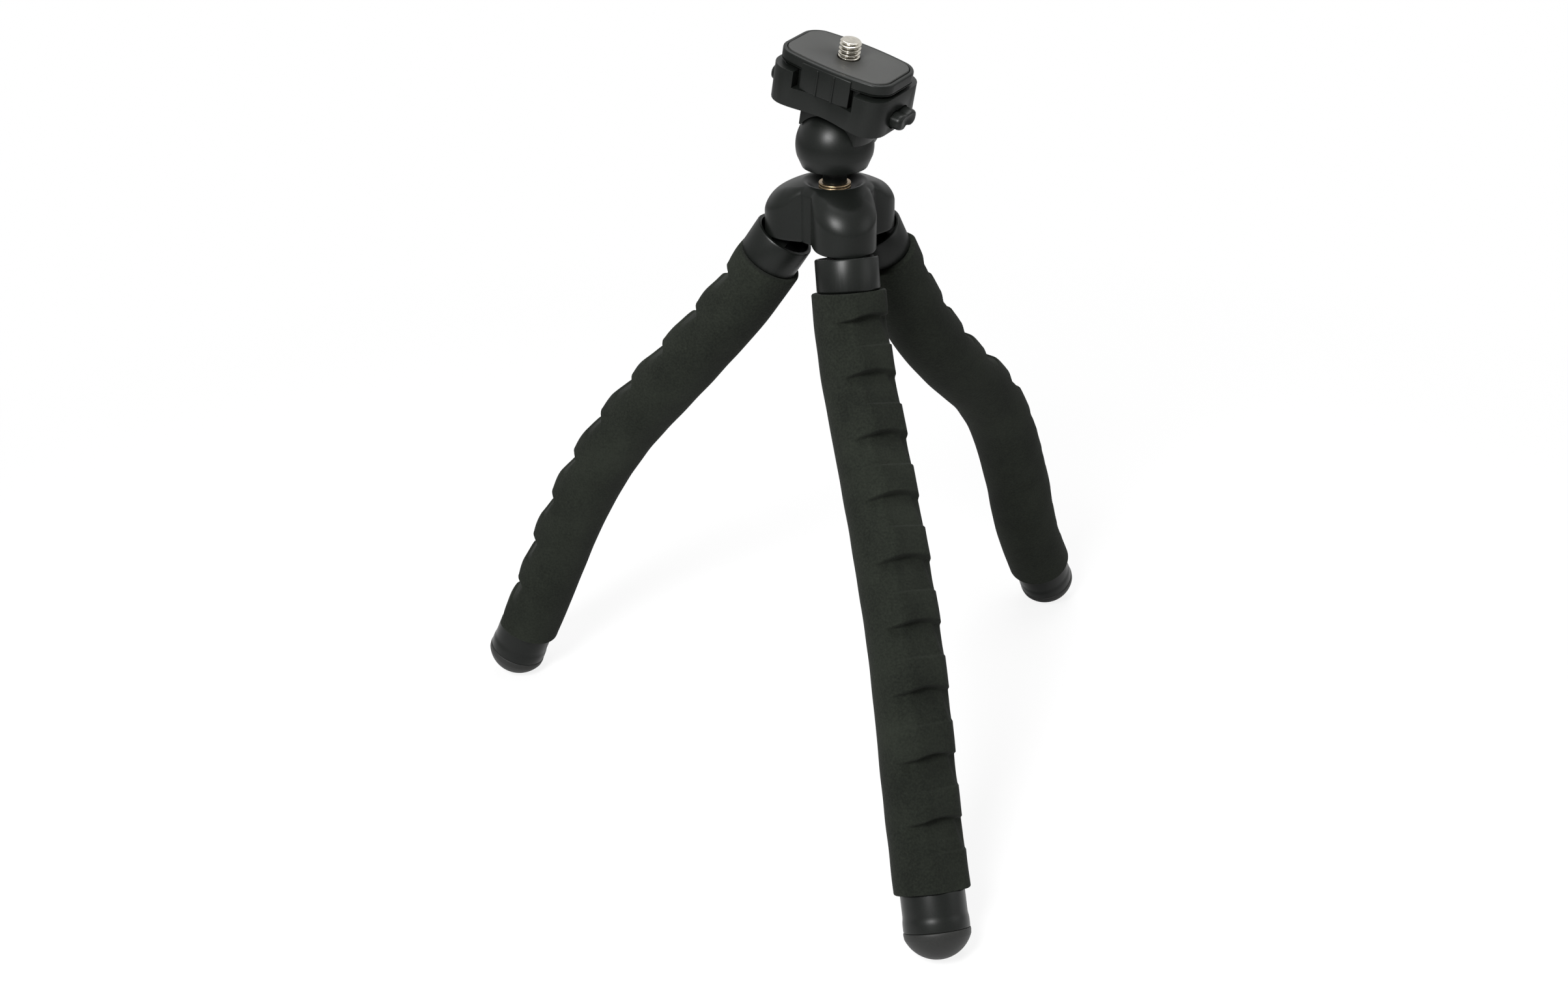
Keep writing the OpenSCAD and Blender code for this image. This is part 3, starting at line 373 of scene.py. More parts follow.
def turned(name, profile, place, turns=128):
    """A profile of (radius, height) swept about the local Z. place is a function from local to world points."""
    a = np.arange(turns) * 2 * np.pi / turns
    r, z = profile[:, 0:1], profile[:, 1:2]
    grid = np.stack([r * np.cos(a), r * np.sin(a), np.broadcast_to(z, (len(z), turns))], -1)
    return sharp_edges(poled_piece(name, place(grid)), 50)


def on_hub(up):
    """Places local points on the hub's axis, up millimetres above its underside."""
    return lambda p: p + STAND + np.array([0, 0, HUB_Z + up])


def on_leg(k, s):
    """Places local points with their Z along leg k, from distance s."""
    along, out, side = leg_directions(k, np.array(float(s)))
    turn = np.stack([-out, side, along], -1)
    return lambda p: p @ turn.T + leg_point(k, s)


print("profile helpers ready")

# %% The ball with its stem
BALL_R, BALL_UP, BALL_FLAT, STEM_R, DISH_UP = 11.7, 28.2, 6.5, 3.65, 14.8
STEM_LOW_R, STEM_LOW_UP, STEM_HOLE_R, STEM_HOLE_UP = 3.0, 5.05, 1.3, 14.0
rise = np.linspace(np.pi / 2, -math.asin(BALL_FLAT / BALL_R), 60)
ball_arc = np.stack([BALL_R * np.cos(rise), BALL_UP + BALL_R * np.sin(rise)], -1)
flat_r = ball_arc[-1, 0]
stem = rounded_profile(
    [tuple(ball_arc[-2]), (flat_r, BALL_UP - BALL_FLAT), (STEM_R, BALL_UP - BALL_FLAT), (STEM_R, DISH_UP + 0.05),
     (STEM_LOW_R, DISH_UP + 0.05), (STEM_LOW_R, STEM_LOW_UP), (STEM_HOLE_R, STEM_LOW_UP),
     (STEM_HOLE_R, STEM_HOLE_UP), (0.0, STEM_HOLE_UP)],
    [0, 1.6, 0.4, 0, 0, 0.2, 0, 0, 0],
    9,
)
# The arc's last nine points give way to the rounded edge of the flat.
ball_piece = turned("ball_and_stem", np.vstack([ball_arc[:-9], stem[1:]]), on_hub(0))
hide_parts("ball_stem")
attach(ball_piece, "ball")
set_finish(ball_piece, "shell")
print("ball", len(ball_piece.data.polygons), "faces")

# %% The bronze ring nut
NUT_LOW_R, NUT_WAIST_R, NUT_HIGH_R, NUT_IN_R, NUT_H = 4.8, 4.6, 4.85, STEM_R + 0.05, 1.9
nut = rounded_profile(
    [(NUT_IN_R, 0), (NUT_LOW_R, 0), (NUT_LOW_R, 0.85), (NUT_WAIST_R, 0.95), (NUT_WAIST_R, 1.05),
     (NUT_HIGH_R, 1.15), (NUT_HIGH_R, NUT_H), (NUT_IN_R, NUT_H), (NUT_IN_R, 0)],
    [0, 0.15, 0.12, 0.05, 0.05, 0.12, 0.3, 0.15, 0],
)
nut_piece = turned("bronze_ring_nut", nut, on_hub(DISH_UP))
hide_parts("stem_nut")
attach(nut_piece, "hub")
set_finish(nut_piece, "bronze")
print("nut", len(nut_piece.data.polygons), "faces")

# %% Profiles of a foot collar and a rubber tip
CORE_BORE_R, NECK_OUT_R = CORE_R + 0.05, NECK_R - 0.1
FLARE_LOW, FLARE_HIGH, CORE_END = FOOT_COLLAR_L * 0.62, FOOT_COLLAR_L * 0.74, FOOT_COLLAR_L * 0.6
ferrule = rounded_profile(
    [(CORE_BORE_R, -NECK_L), (NECK_OUT_R, -NECK_L), (NECK_OUT_R, 0.0), (COLLAR_R, 0.0), (COLLAR_R, FLARE_LOW),
     (FOOT_COLLAR_R, FLARE_HIGH), (FOOT_COLLAR_R, FOOT_COLLAR_L), (PEG_R, FOOT_COLLAR_L),
     (PEG_R, FOOT_COLLAR_L + TIP_L / 2), (0, FOOT_COLLAR_L + TIP_L / 2)],
    [0, 0.3, 0, 0.5, 0.8, 0.8, 0.45, 0, 0.3, 0],
)
ferrule = np.vstack([ferrule, [(0, CORE_END), (CORE_BORE_R, CORE_END), (CORE_BORE_R, -NECK_L)]])
PEG_ROOM_R, PEG_ROOM_L = PEG_R + 0.1, TIP_L / 2 + 0.1
down = np.linspace(math.asin((TIP_R - 0.15) / DOME_R), 0, 40)
dome = np.stack([DOME_R * np.sin(down), TIP_L - DOME_R + DOME_R * np.cos(down)], -1)
rim = rounded_profile([(PEG_ROOM_R, 0.0), (TIP_R - 0.1, 0.0), (TIP_R, 0.6), tuple(dome[0])], [0, 0.35, 0.5, 0])
inside = np.array([(0, PEG_ROOM_L), (PEG_ROOM_R, PEG_ROOM_L), (PEG_ROOM_R, 0.0)])
tip_profile = np.vstack([rim, dome[1:], inside])
print("profiles of", len(ferrule), "and", len(tip_profile), "points")

# %% Foot collars and rubber tips
for k, leg in enumerate(LEGS):
    collar = turned(f"{leg}_foot_ferrule", ferrule, on_leg(k, SLEEVE_END_S))
    tip = turned(f"{leg}_rubber_tip", tip_profile, on_leg(k, TIP_S))
    for piece, node, slot in ((collar, "foot_collar", "shell"), (tip, "foot_tip", "rubber")):
        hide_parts(f"{leg}_{node}")
        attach(piece, f"{leg}_leg_end")
        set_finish(piece, slot)
        print(piece.name, len(piece.data.polygons), "faces")

# %% [markdown]
# ## The hub
# The hub is one moulding: three lobes that carry the legs, under one shallow dome with a dish in its top. Its
# outline in plan is the largest of three circles and a middle circle, blended by a soft maximum, which melts
# two curves into each other the way a fillet does. In section the dome meets the upright sides in a radius
# that grows from the crotches to the lobes. The slots for the tongues are cut from below.

# %% The hub's outline in plan
HUB_R, LOBE_R, CROTCH_ROUND = 12.0, 9.4, 4.0
RIM_R = HINGE_RING_R + LOBE_R
FINE_POINTS, HUB_POINTS = 7200, 540


def hub_outline(a):
    """Distance from the axis to the hub's upright side, in direction a: lobes and middle circle, blended."""
    near = np.radians(60 - np.abs((np.degrees(a) + 90) % 120 - 60))
    inside = np.clip(LOBE_R**2 - (HINGE_RING_R * np.sin(near)) ** 2, 0, None)
    lobe = HINGE_RING_R * np.cos(near) + np.sqrt(inside)
    return -soft_min(-lobe, -(HUB_R + 0 * near), CROTCH_ROUND)


def hub_side():
    """Points evenly spread along the outline in plan, with the unit vector that points inward from each."""
    a = np.linspace(0, 2 * np.pi, FINE_POINTS + 1)
    p = hub_outline(a)[:, None] * np.stack([np.cos(a), np.sin(a)], -1)
    run = np.concatenate([[0], np.cumsum(np.linalg.norm(np.diff(p, axis=0), axis=1))])
    a = np.interp(np.linspace(0, run[-1], HUB_POINTS + 1)[:-1], run, a)
    p = hub_outline(a)[:, None] * np.stack([np.cos(a), np.sin(a)], -1)
    along = np.roll(p, -1, 0) - np.roll(p, 1, 0)
    along /= np.linalg.norm(along, axis=1)[:, None]
    return a, p, np.stack([-along[:, 1], along[:, 0]], -1)


lobe_reach, crotch_reach = (float(hub_outline(np.radians(v))) for v in (30, -30))
print("hub reaches", round(lobe_reach, 2), "mm at a lobe and", round(crotch_reach, 2), "mm between two")

# %% The hub's surface
HUB_H, SHOULDER_UP, RECESS_R, RECESS_H, STEM_BORE_R = 18.6, 10.5, 8.2, 5.0, 3.05
DISH_R, DISH_IN_R, DISH_FLOOR_R, DISH_WALL = 9.6, 3.8, 5.6, 4.2
DISH_RINGS, DOME_RINGS, SHOULDER_RINGS, SIDE_RINGS, FOOT_RINGS = 29, 70, 15, 25, 4
# The shoulder's smallest radius, what a lobe adds to it, its drop as a share of the radius, and the foot's radius.
SHOULDER_SMALL, SHOULDER_MORE, SHOULDER_DROP, FOOT_ROUND = 2.0, 2.5, 0.88, 0.5
DOME_HUB_R = (RIM_R**2 + (HUB_H - SHOULDER_UP) ** 2) / (2 * (HUB_H - SHOULDER_UP))


def hub_grid():
    """Rings from the dish over the dome and the rounded shoulder, down the side, and under into the recess."""
    a, edge, inward = hub_side()
    turn = np.stack([np.cos(a), np.sin(a)], -1)
    # The shoulder's radius is small between the lobes and large over each lobe's end.
    lobe_share = smooth((np.linalg.norm(edge, axis=1, keepdims=True) - HUB_R) / 5)
    round_r = SHOULDER_SMALL + SHOULDER_MORE * lobe_share
    t = np.linspace(0, 1, DOME_RINGS)[:, None, None]
    # The dish round the ring nut: its floor is level, and its wall rises to the dome in a soft S.
    dish = DISH_IN_R + (DISH_R - DISH_IN_R) * np.linspace(0, 1, DISH_RINGS + 1)[:-1, None, None]
    top = DISH_R * turn * (1 - t) + (edge + round_r * inward) * t
    top = np.concatenate([dish * turn, top])
    # The shoulder: a quarter of a circle that leaves the dome smoothly and ends upright.
    q = np.linspace(0, np.pi / 2, SHOULDER_RINGS + 1)[1:, None, None]
    shoulder = edge + round_r * inward * (1 - np.sin(q))
    plan = np.concatenate([top, shoulder])
    away = np.linalg.norm(plan, axis=2)
    z = HUB_H - DOME_HUB_R + np.sqrt(DOME_HUB_R**2 - away**2)
    z[len(top):] -= SHOULDER_DROP * round_r[:, 0] * (1 - np.cos(q[..., 0]))
    rise = smooth((away[:len(top)] - DISH_FLOOR_R) / DISH_WALL)
    z[:len(top)] = DISH_UP + (z[:len(top)] - DISH_UP) * rise
    low = z[-1]
    down = np.linspace(0, 1, SIDE_RINGS + 1)[1:, None]
    side_z = low * (1 - down) + FOOT_ROUND * down
    q = np.linspace(0, np.pi / 2, FOOT_RINGS + 1)[1:, None, None]
    foot = edge + FOOT_ROUND * inward * (1 - np.cos(q))
    foot_z = FOOT_ROUND * (1 - np.sin(q[..., 0])) + 0 * low
    under = np.array([(RECESS_R + 0.3, 0.0), (RECESS_R, 0.3), (RECESS_R, RECESS_H), (STEM_BORE_R, RECESS_H),
                      (STEM_BORE_R, DISH_UP)])
    plan = np.concatenate([plan, np.repeat(edge[None], SIDE_RINGS, 0), foot, under[:, :1, None] * turn])
    z = np.concatenate([z, side_z, foot_z, under[:, 1:] + 0 * low])
    return np.concatenate([plan, z[..., None]], -1)


hub_piece = grid_piece("moulded_hub", on_hub(0)(hub_grid()))
print("hub rings", len(hub_piece.data.vertices), "points, dome radius", round(DOME_HUB_R, 2))


# %% A cutter made of boxes
def box_mesh(low, high, matrix):
    """A box between two corners, moved by a 4x4 matrix."""
    b = bmesh.new()
    bmesh.ops.create_cube(b, size=1)
    for v in b.verts:
        v.co = Vector([low[i] + (v.co[i] + 0.5) * (high[i] - low[i]) for i in range(3)])
    b.transform(matrix)
    return b


def add_box(whole, b):
    """Adds a box in millimetres to a mesh in metres."""
    b.transform(Matrix.Scale(MM, 4))
    part = bpy.data.meshes.new("part")
    b.to_mesh(part)
    whole.from_mesh(part)
    b.free()
    bpy.data.meshes.remove(part)


def cut(piece, boxes):
    """Takes boxes (low corner, high corner, matrix), in millimetres, out of a closed piece."""
    cutter = bpy.data.objects.new("cutter", bpy.data.meshes.new("cutter"))
    bpy.context.collection.objects.link(cutter)
    whole = bmesh.new()
    for low, high, matrix in boxes:
        add_box(whole, box_mesh(low, high, matrix))
    whole.to_mesh(cutter.data)
    whole.free()
    m = piece.modifiers.new("cut", "BOOLEAN")
    m.operation, m.object, m.solver = "DIFFERENCE", cutter, "EXACT"
    done = bpy.data.meshes.new_from_object(piece.evaluated_get(bpy.context.evaluated_depsgraph_get()))
    piece.modifiers.clear()
    piece.data = done
    bpy.data.objects.remove(cutter)
    return piece


print("box cutter ready")

# %% The slots for the legs' tongues, and the room for the pins
PIN_ROOM_R, PIN_ROOM_HALF, LOBE_WALL, BELOW = 1.55, 7.05, 1.6, -1.2
slots, pin_rooms = [], []
for k in range(3):
    place = Matrix.Translation(Vector([*STAND[:2], HUB_Z])) @ Matrix.Rotation(math.radians(LEG_TURNS[k]), 4, "Z")
    place = place @ Matrix.Translation((HINGE_RING_R, 0, 0))
    slots.append(((-TONGUE_R, -TONGUE_HALF, BELOW), (LOBE_R - LOBE_WALL, TONGUE_HALF, SLOT_TOP), place))
    pin_top = HINGE_UP + PIN_ROOM_R
    pin_rooms.append(((-PIN_ROOM_R, -PIN_ROOM_HALF, BELOW), (PIN_ROOM_R, PIN_ROOM_HALF, pin_top), place))
cut(hub_piece, slots)
cut(hub_piece, pin_rooms)
hub_piece.data.shade_smooth()
sharp_edges(hub_piece, 40)
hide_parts("hub_body")
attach(hub_piece, "hub")
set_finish(hub_piece, "shell")
print("hub", len(hub_piece.data.polygons), "faces")

# %% [markdown]
# ## The camera screw
# The screw has a standard 1/4 inch thread: 20 turns to the inch, so one turn climbs 1.27 mm. The thread
# is a groove that winds round the shank. On a grid of angle and height, the groove's depth depends only on
# the height minus the climb at that angle, so one formula cuts the whole helix. The ends fade out.

# %% The head's own frame: it is turned and tilted on the ball, as in the photograph
HEAD_TURN, HEAD_PITCH, HEAD_ROLL = (math.radians(v) for v in (-46, 4, 12))
HEAD = np.array(
    Matrix.Rotation(HEAD_TURN, 3, "Z") @ Matrix.Rotation(HEAD_PITCH, 3, "X") @ Matrix.Rotation(HEAD_ROLL, 3, "Y")
)
BALL = STAND + np.array([0, 0, HUB_Z + BALL_UP])
RECEIVER_UP, RECEIVER_H, SLAB_GAP, SLAB_T, PAD_T, PAD_SINK = 12.5, 11.0, 1.0, 3.2, 1.1, 0.8
PLATE_UP = RECEIVER_UP + 4.0
PAD_TOP = RECEIVER_UP + RECEIVER_H + SLAB_GAP + SLAB_T - PAD_SINK + PAD_T


def on_head(p):
    """Places local points in the head's frame: Z through the plate, X along it, from the ball's centre."""
    return p @ HEAD.T + BALL


print("pad top", round(PAD_TOP, 2), "above the ball's centre")

# %% The screw's surface
PITCH_SCREW, SCREW_R, SHANK_R, THREAD_DEPTH, SCREW_OUT = 1.27, 3.175, 2.825, 0.7, 5.1
REST_GAP, SCREW_SINK = 0.05, 1.2
SCREW_HEAD_R, SCREW_HEAD_H, SCREW_HEAD_UP = 5.0, 2.0, PLATE_UP + REST_GAP + SCREW_SINK
ROOT_SHARE, FLANK_SHARE, SCREW_SIDES = 0.12, 0.66, 96
thread_low, thread_high = PAD_TOP + 0.3, PAD_TOP + SCREW_OUT
z = np.linspace(thread_low, thread_high - 0.02, 130)[:, None]
a = (np.arange(SCREW_SIDES) * 2 * np.pi / SCREW_SIDES)[None, :]
phase = ((z - thread_low) / PITCH_SCREW - a / (2 * np.pi)) % 1
ridge = np.clip((np.abs(phase - 0.5) * 2 - ROOT_SHARE) / FLANK_SHARE, 0, 1)
run_in = np.clip((z - thread_low) / 0.5, 0, 1)
r = SCREW_R - THREAD_DEPTH * (1 - ridge) * run_in
r = np.minimum(r, SCREW_R - 0.5 + (thread_high - z))
r = np.where(z < thread_low + 0.06, np.minimum(r, SCREW_R - 0.05), r)
head_high = SCREW_HEAD_UP + SCREW_HEAD_H
below = [
    (0.0, SCREW_HEAD_UP),
    (SCREW_HEAD_R - 0.2, SCREW_HEAD_UP),
    (SCREW_HEAD_R, SCREW_HEAD_UP + 0.2),
    (SCREW_HEAD_R, head_high - 0.2),
    (SCREW_HEAD_R - 0.2, head_high),
    (SHANK_R, head_high),
    (SHANK_R, PAD_TOP - 1.6),
    (SCREW_R - 0.08, PAD_TOP - 1.5),
    (SCREW_R - 0.08, thread_low),
]
above = [(SCREW_R - 0.62, thread_high), (0.0, thread_high)]
one = np.ones_like(a)
rs = np.vstack([one * u for u, _ in below] + [r] + [one * u for u, _ in above])
zs = np.vstack([one * v for _, v in below] + [z + 0 * a] + [one * v for _, v in above])
grid = np.stack([rs * np.cos(a), rs * np.sin(a), zs], -1)
screw_piece = sharp_edges(poled_piece("camera_screw_threaded", on_head(grid)), 45)
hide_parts("camera_screw")
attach(screw_piece, "screw")
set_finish(screw_piece, "steel")
print("screw", len(screw_piece.data.polygons), "faces")

# %% [markdown]
# ## The quick release plate
# The plate is a slab with a soft rim and a grip pad let into its top. Both follow one barrel-shaped outline.
# The outline is walked once round, its inward direction is worked out at each point, and every ring of the
# surface is that outline moved inward and up by the profile. So the rim keeps one radius all the way round.

# %% Outlines and rings
def outline(l, w, r, bow, count=400):
    """Evenly spread points round a bowed rectangle, with inward unit vectors. Half the width at x is
    w/2 - bow t^2 - r + sqrt(r^2 - c^2), where t is |x| over l/2 - r and c is how far |x| is past l/2 - r."""
    x = -l / 2 * np.cos(np.linspace(0, np.pi, 1201))
    t = np.abs(x) / (l / 2 - r)
    c = np.clip(np.abs(x) - l / 2 + r, 0, r)
    y = w / 2 - bow * t**2 - r + np.sqrt(r**2 - c**2)
    p = np.concatenate([np.stack([x, -y], -1), np.stack([x[::-1], y[::-1]], -1)])
    p = np.concatenate([p, p[:1]])
    run = np.concatenate([[0], np.cumsum(np.linalg.norm(np.diff(p, axis=0), axis=1))])
    at = np.linspace(0, run[-1], count + 1)[:-1]
    p = np.stack([np.interp(at, run, p[:, i]) for i in range(2)], -1)
    along = np.roll(p, -2, 0) - np.roll(p, 2, 0)
    along /= np.linalg.norm(along, axis=1)[:, None]
    return p, np.stack([-along[:, 1], along[:, 0]], -1)


def ringed(p, inward, profile):
    """One ring for each of the profile's pairs of inset and height: the outline moved inward, at that height."""
    return np.array([np.concatenate([p + inset * inward, np.full((len(p), 1), z)], 1) for inset, z in profile])


print("outline helpers ready")

# %% The slab and the pad
SLAB_L, SLAB_W, SLAB_BOW, SLAB_R, RIM = 36.9, 23.2, 1.1, 5.0, 1.3
PAD_HOLE_R, SLAB_HOLE_R = 3.28, 3.6
slab_low = RECEIVER_UP + RECEIVER_H + SLAB_GAP
slab_high = slab_low + SLAB_T
p, inward = outline(SLAB_L, SLAB_W, SLAB_R, SLAB_BOW)
rim = rounded_profile(
    [(0.4, slab_low), (0.0, slab_low + 0.4), (0.0, slab_high), (RIM - 0.15, slab_high), (RIM, slab_high - PAD_SINK)],
    [0, 0.3, 0.95, 0.1, 0],
    9,
)
slab_rings = ringed(p, inward, [(1.0, slab_low), *rim.tolist(), (RIM, slab_high - PAD_SINK)])
turn_a = np.arctan2(p[:, 1], p[:, 0])


def hole_ring(z, r):
    """One ring round the screw's hole, with a point for each point of the outline."""
    return np.stack([r * np.cos(turn_a), r * np.sin(turn_a), np.full(len(p), z)], -1)[None]


slab_hole = [hole_ring(slab_high - PAD_SINK, SLAB_HOLE_R), hole_ring(slab_low, SLAB_HOLE_R)]
slab_rings = np.concatenate([slab_rings, *slab_hole])
slab_piece = grid_piece("plate_slab", on_head(slab_rings))
pad_low, pad_high = slab_high - PAD_SINK, PAD_TOP
edge = rounded_profile([(RIM + 0.12, pad_low), (RIM + 0.12, pad_high), (RIM + 2.0, pad_high)], [0, 0.45, 0], 9)
pad_rings = ringed(p, inward, edge.tolist())
pad_hole = [(pad_high, PAD_HOLE_R + 0.25), (pad_high - 0.25, PAD_HOLE_R), (pad_low, PAD_HOLE_R)]
pad_rings = np.concatenate([pad_rings, *(hole_ring(z, r) for z, r in pad_hole)])
pad_piece = grid_piece("grip_pad", on_head(pad_rings))
for piece in (slab_piece, pad_piece):
    sharp_edges(piece, 50)
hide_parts("plate_pad")
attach(pad_piece, "plate")
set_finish(pad_piece, "grip")
print("slab", len(slab_piece.data.polygons), "pad", len(pad_piece.data.polygons))

# %% [markdown]
# ## Finer copies of the moulded parts
# The socket, the receiver, the plate's foot, the knob and the collars come from the CAD as exact shapes with
# sharp edges. A real moulding has a small radius on each edge. A copy of the mesh is merged, its flat faces
# are joined, and a Bevel modifier puts that radius on.

# %% Copies with rounded edges
SHARP_FROM, FLAT_WITHIN, WELD = math.radians(32), math.radians(1.5), 2e-6


def rounded_copy(node, body, slot, width, segments):
    """A merged copy of a CAD node, with a radius of the given width on each edge sharper than SHARP_FROM."""
    mesh = frame["nodes"][node].data.copy()
    piece = bpy.data.objects.new(f"{node}_moulded", mesh)
    bpy.context.collection.objects.link(piece)
    b = bmesh.new()
    b.from_mesh(mesh)
    bmesh.ops.remove_doubles(b, verts=b.verts[:], dist=WELD)
    bmesh.ops.dissolve_limit(b, angle_limit=FLAT_WITHIN, verts=b.verts[:], edges=b.edges[:])
    b.to_mesh(mesh)
    b.free()
    mesh.shade_smooth()
    bevel = piece.modifiers.new("edge radius", "BEVEL")
    bevel.width = width * MM
    bevel.segments = segments
    bevel.limit_method = "ANGLE"
    bevel.angle_limit = SHARP_FROM
    bevel.harden_normals = True
    bevel.use_clamp_overlap = True
    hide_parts(node)
    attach(piece, body)
    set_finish(piece, slot)
    return piece


EDGE_RADII = (
    ("socket_neck", "head", 0.45, 3),
    ("receiver", "head", 0.55, 4),
    ("quick_plate", "plate", 0.4, 3),
    ("lock_knob", "lock", 0.25, 3),
    *((f"{leg}_collar", f"{leg}_leg", 0.25, 3) for leg in LEGS),
)
moulded = {}
for node, body, width, segments in EDGE_RADII:
    moulded[node] = rounded_copy(node, body, "shell", width, segments)
print(len(moulded), "moulded copies")

# %% [markdown]
# ## Release buttons
# Each button is a small knob with two round ends and a pinched middle, so a finger and a thumb find it. Its
# section is a superellipse, pinched by a bell curve at the middle. The outer end is rounded over by rings
# that shrink along a quarter circle, and a shallow dent in its face is one more bell curve.

# %% The buttons
BUTTON_IN, BUTTON_END, BUTTON_L, BUTTON_H = 16.4, 22.4, 10.0, 5.2
BUTTON_ROUND, BUTTON_SHRINK, BUTTON_SQUARE, BUTTON_SIDES = 1.5, 0.26, 0.75, 160
WALL_RINGS, FACE_RINGS = 8, 8
PINCH, PINCH_L, DENT, DENT_L, DENT_H = 0.3, 1.9, 0.75, 2.2, 1.8
button_z = RECEIVER_UP + 1.1 + BUTTON_H / 2


def signed_power(v, e):
    """The power of a number's size, with its sign kept: below 1 it makes an ellipse squarer."""
    return np.sign(v) * np.abs(v) ** e


def button_grid(sign):
    """Rings from the inner end to the middle of the outer face. The height shrinks by a bell curve of the length,
    and the face sinks by a bell curve of both."""
    a = np.arange(BUTTON_SIDES) * 2 * np.pi / BUTTON_SIDES
    y_out = BUTTON_L / 2 * signed_power(np.cos(a), BUTTON_SQUARE)
    pinch = 1 - PINCH * np.exp(-((y_out / PINCH_L) ** 2))
    z_out = BUTTON_H / 2 * signed_power(np.sin(a), BUTTON_SQUARE) * pinch
    q = np.linspace(0, np.pi / 2, 12)[1:]
    round_from = BUTTON_END - BUTTON_ROUND
    reach = np.concatenate([
        [BUTTON_IN, BUTTON_IN],
        np.linspace(BUTTON_IN + 0.3, round_from, WALL_RINGS),
        round_from + BUTTON_ROUND * np.sin(q),
        np.full(FACE_RINGS, BUTTON_END),
    ])
    face = np.linspace(1 - BUTTON_SHRINK, 0, FACE_RINGS + 1)[1:]
    size = np.concatenate([[0, 1], np.ones(WALL_RINGS), 1 - BUTTON_SHRINK * (1 - np.cos(q)), face])
    Y, Z = size[:, None] * y_out, size[:, None] * z_out
    on_face = (reach > round_from - 0.1)[:, None]
    X = reach[:, None] - DENT * np.exp(-((Y / DENT_L) ** 2) - (Z / DENT_H) ** 2) * on_face
    return np.stack([sign * X, sign * Y, Z + button_z], -1)


for side_name, sign in (("left", -1), ("right", 1)):
    piece = poled_piece(f"{side_name}_button", on_head(button_grid(sign)))
    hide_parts(f"{side_name}_release_button")
    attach(piece, f"{side_name}_button")
    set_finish(piece, "shell")
    print(piece.name, len(piece.data.polygons), "faces")

# %% [markdown]
# ## The plate's foot and its tabs
# The plate's foot is the CAD shape, cut off just above the slab's underside, and the fine slab is laid on it.
# The real plate has two side tabs, each with a raised panel and two thin upright ribs for the fingers. Panels
# and ribs are small boxes with rounded edges, sunk into the tabs.

# %% The plate's foot and tabs, with the surface slab on top
plate_foot = moulded["quick_plate"]
RIB_X, RIB_Y, RIB_HALF_W, RIB_HALF_T, EDGE_R = 2.735, 11.62, 0.35, 0.4, 0.28
PANEL_HALF_L, PANEL_IN, PANEL_OUT = 8.2, 9.6, 11.68
head_place = Matrix([[*HEAD[i], BALL[i]] for i in range(3)] + [[0, 0, 0, 1]])
tab_low = PLATE_UP + 2.0 + 0.1
rib_high, panel_high = slab_high - 1.3, slab_high - 0.85
ribs = [
    ((x - RIB_HALF_W, y - RIB_HALF_T, tab_low), (x + RIB_HALF_W, y + RIB_HALF_T, rib_high))
    for x in (-RIB_X, RIB_X)
    for y in (-RIB_Y, RIB_Y)
]
panels = [
    ((-PANEL_HALF_L, low_y, tab_low), (PANEL_HALF_L, high_y, panel_high))
    for low_y, high_y in ((-PANEL_OUT, -PANEL_IN), (PANEL_IN, PANEL_OUT))
]
cut(plate_foot, [((-30, -20, slab_low + 0.15), (30, 20, slab_high + 5), head_place)])
whole = bmesh.new()
whole.from_mesh(plate_foot.data)
whole.from_mesh(slab_piece.data)
for low, high in ribs + panels:
    box = box_mesh(low, high, head_place)
    bmesh.ops.bevel(box, geom=box.edges[:], offset=EDGE_R, segments=3, affect="EDGES", profile=0.5)
    add_box(whole, box)
whole.to_mesh(plate_foot.data)
whole.free()
bpy.data.objects.remove(slab_piece)
plate_foot.data.shade_smooth()
sharp_edges(plate_foot, 40)
print("plate", len(plate_foot.data.polygons), "faces")

# %% [markdown]
# ## Finishes
# Plastic that has been moulded against a lightly etched tool is dark, satin and a little uneven. Foam is
# almost black, with pores of a few tenths of a millimetre. A small shader node group adds that unevenness to
# any material: it mixes slow blotches and fine grain into a colour, a roughness and a bump height.

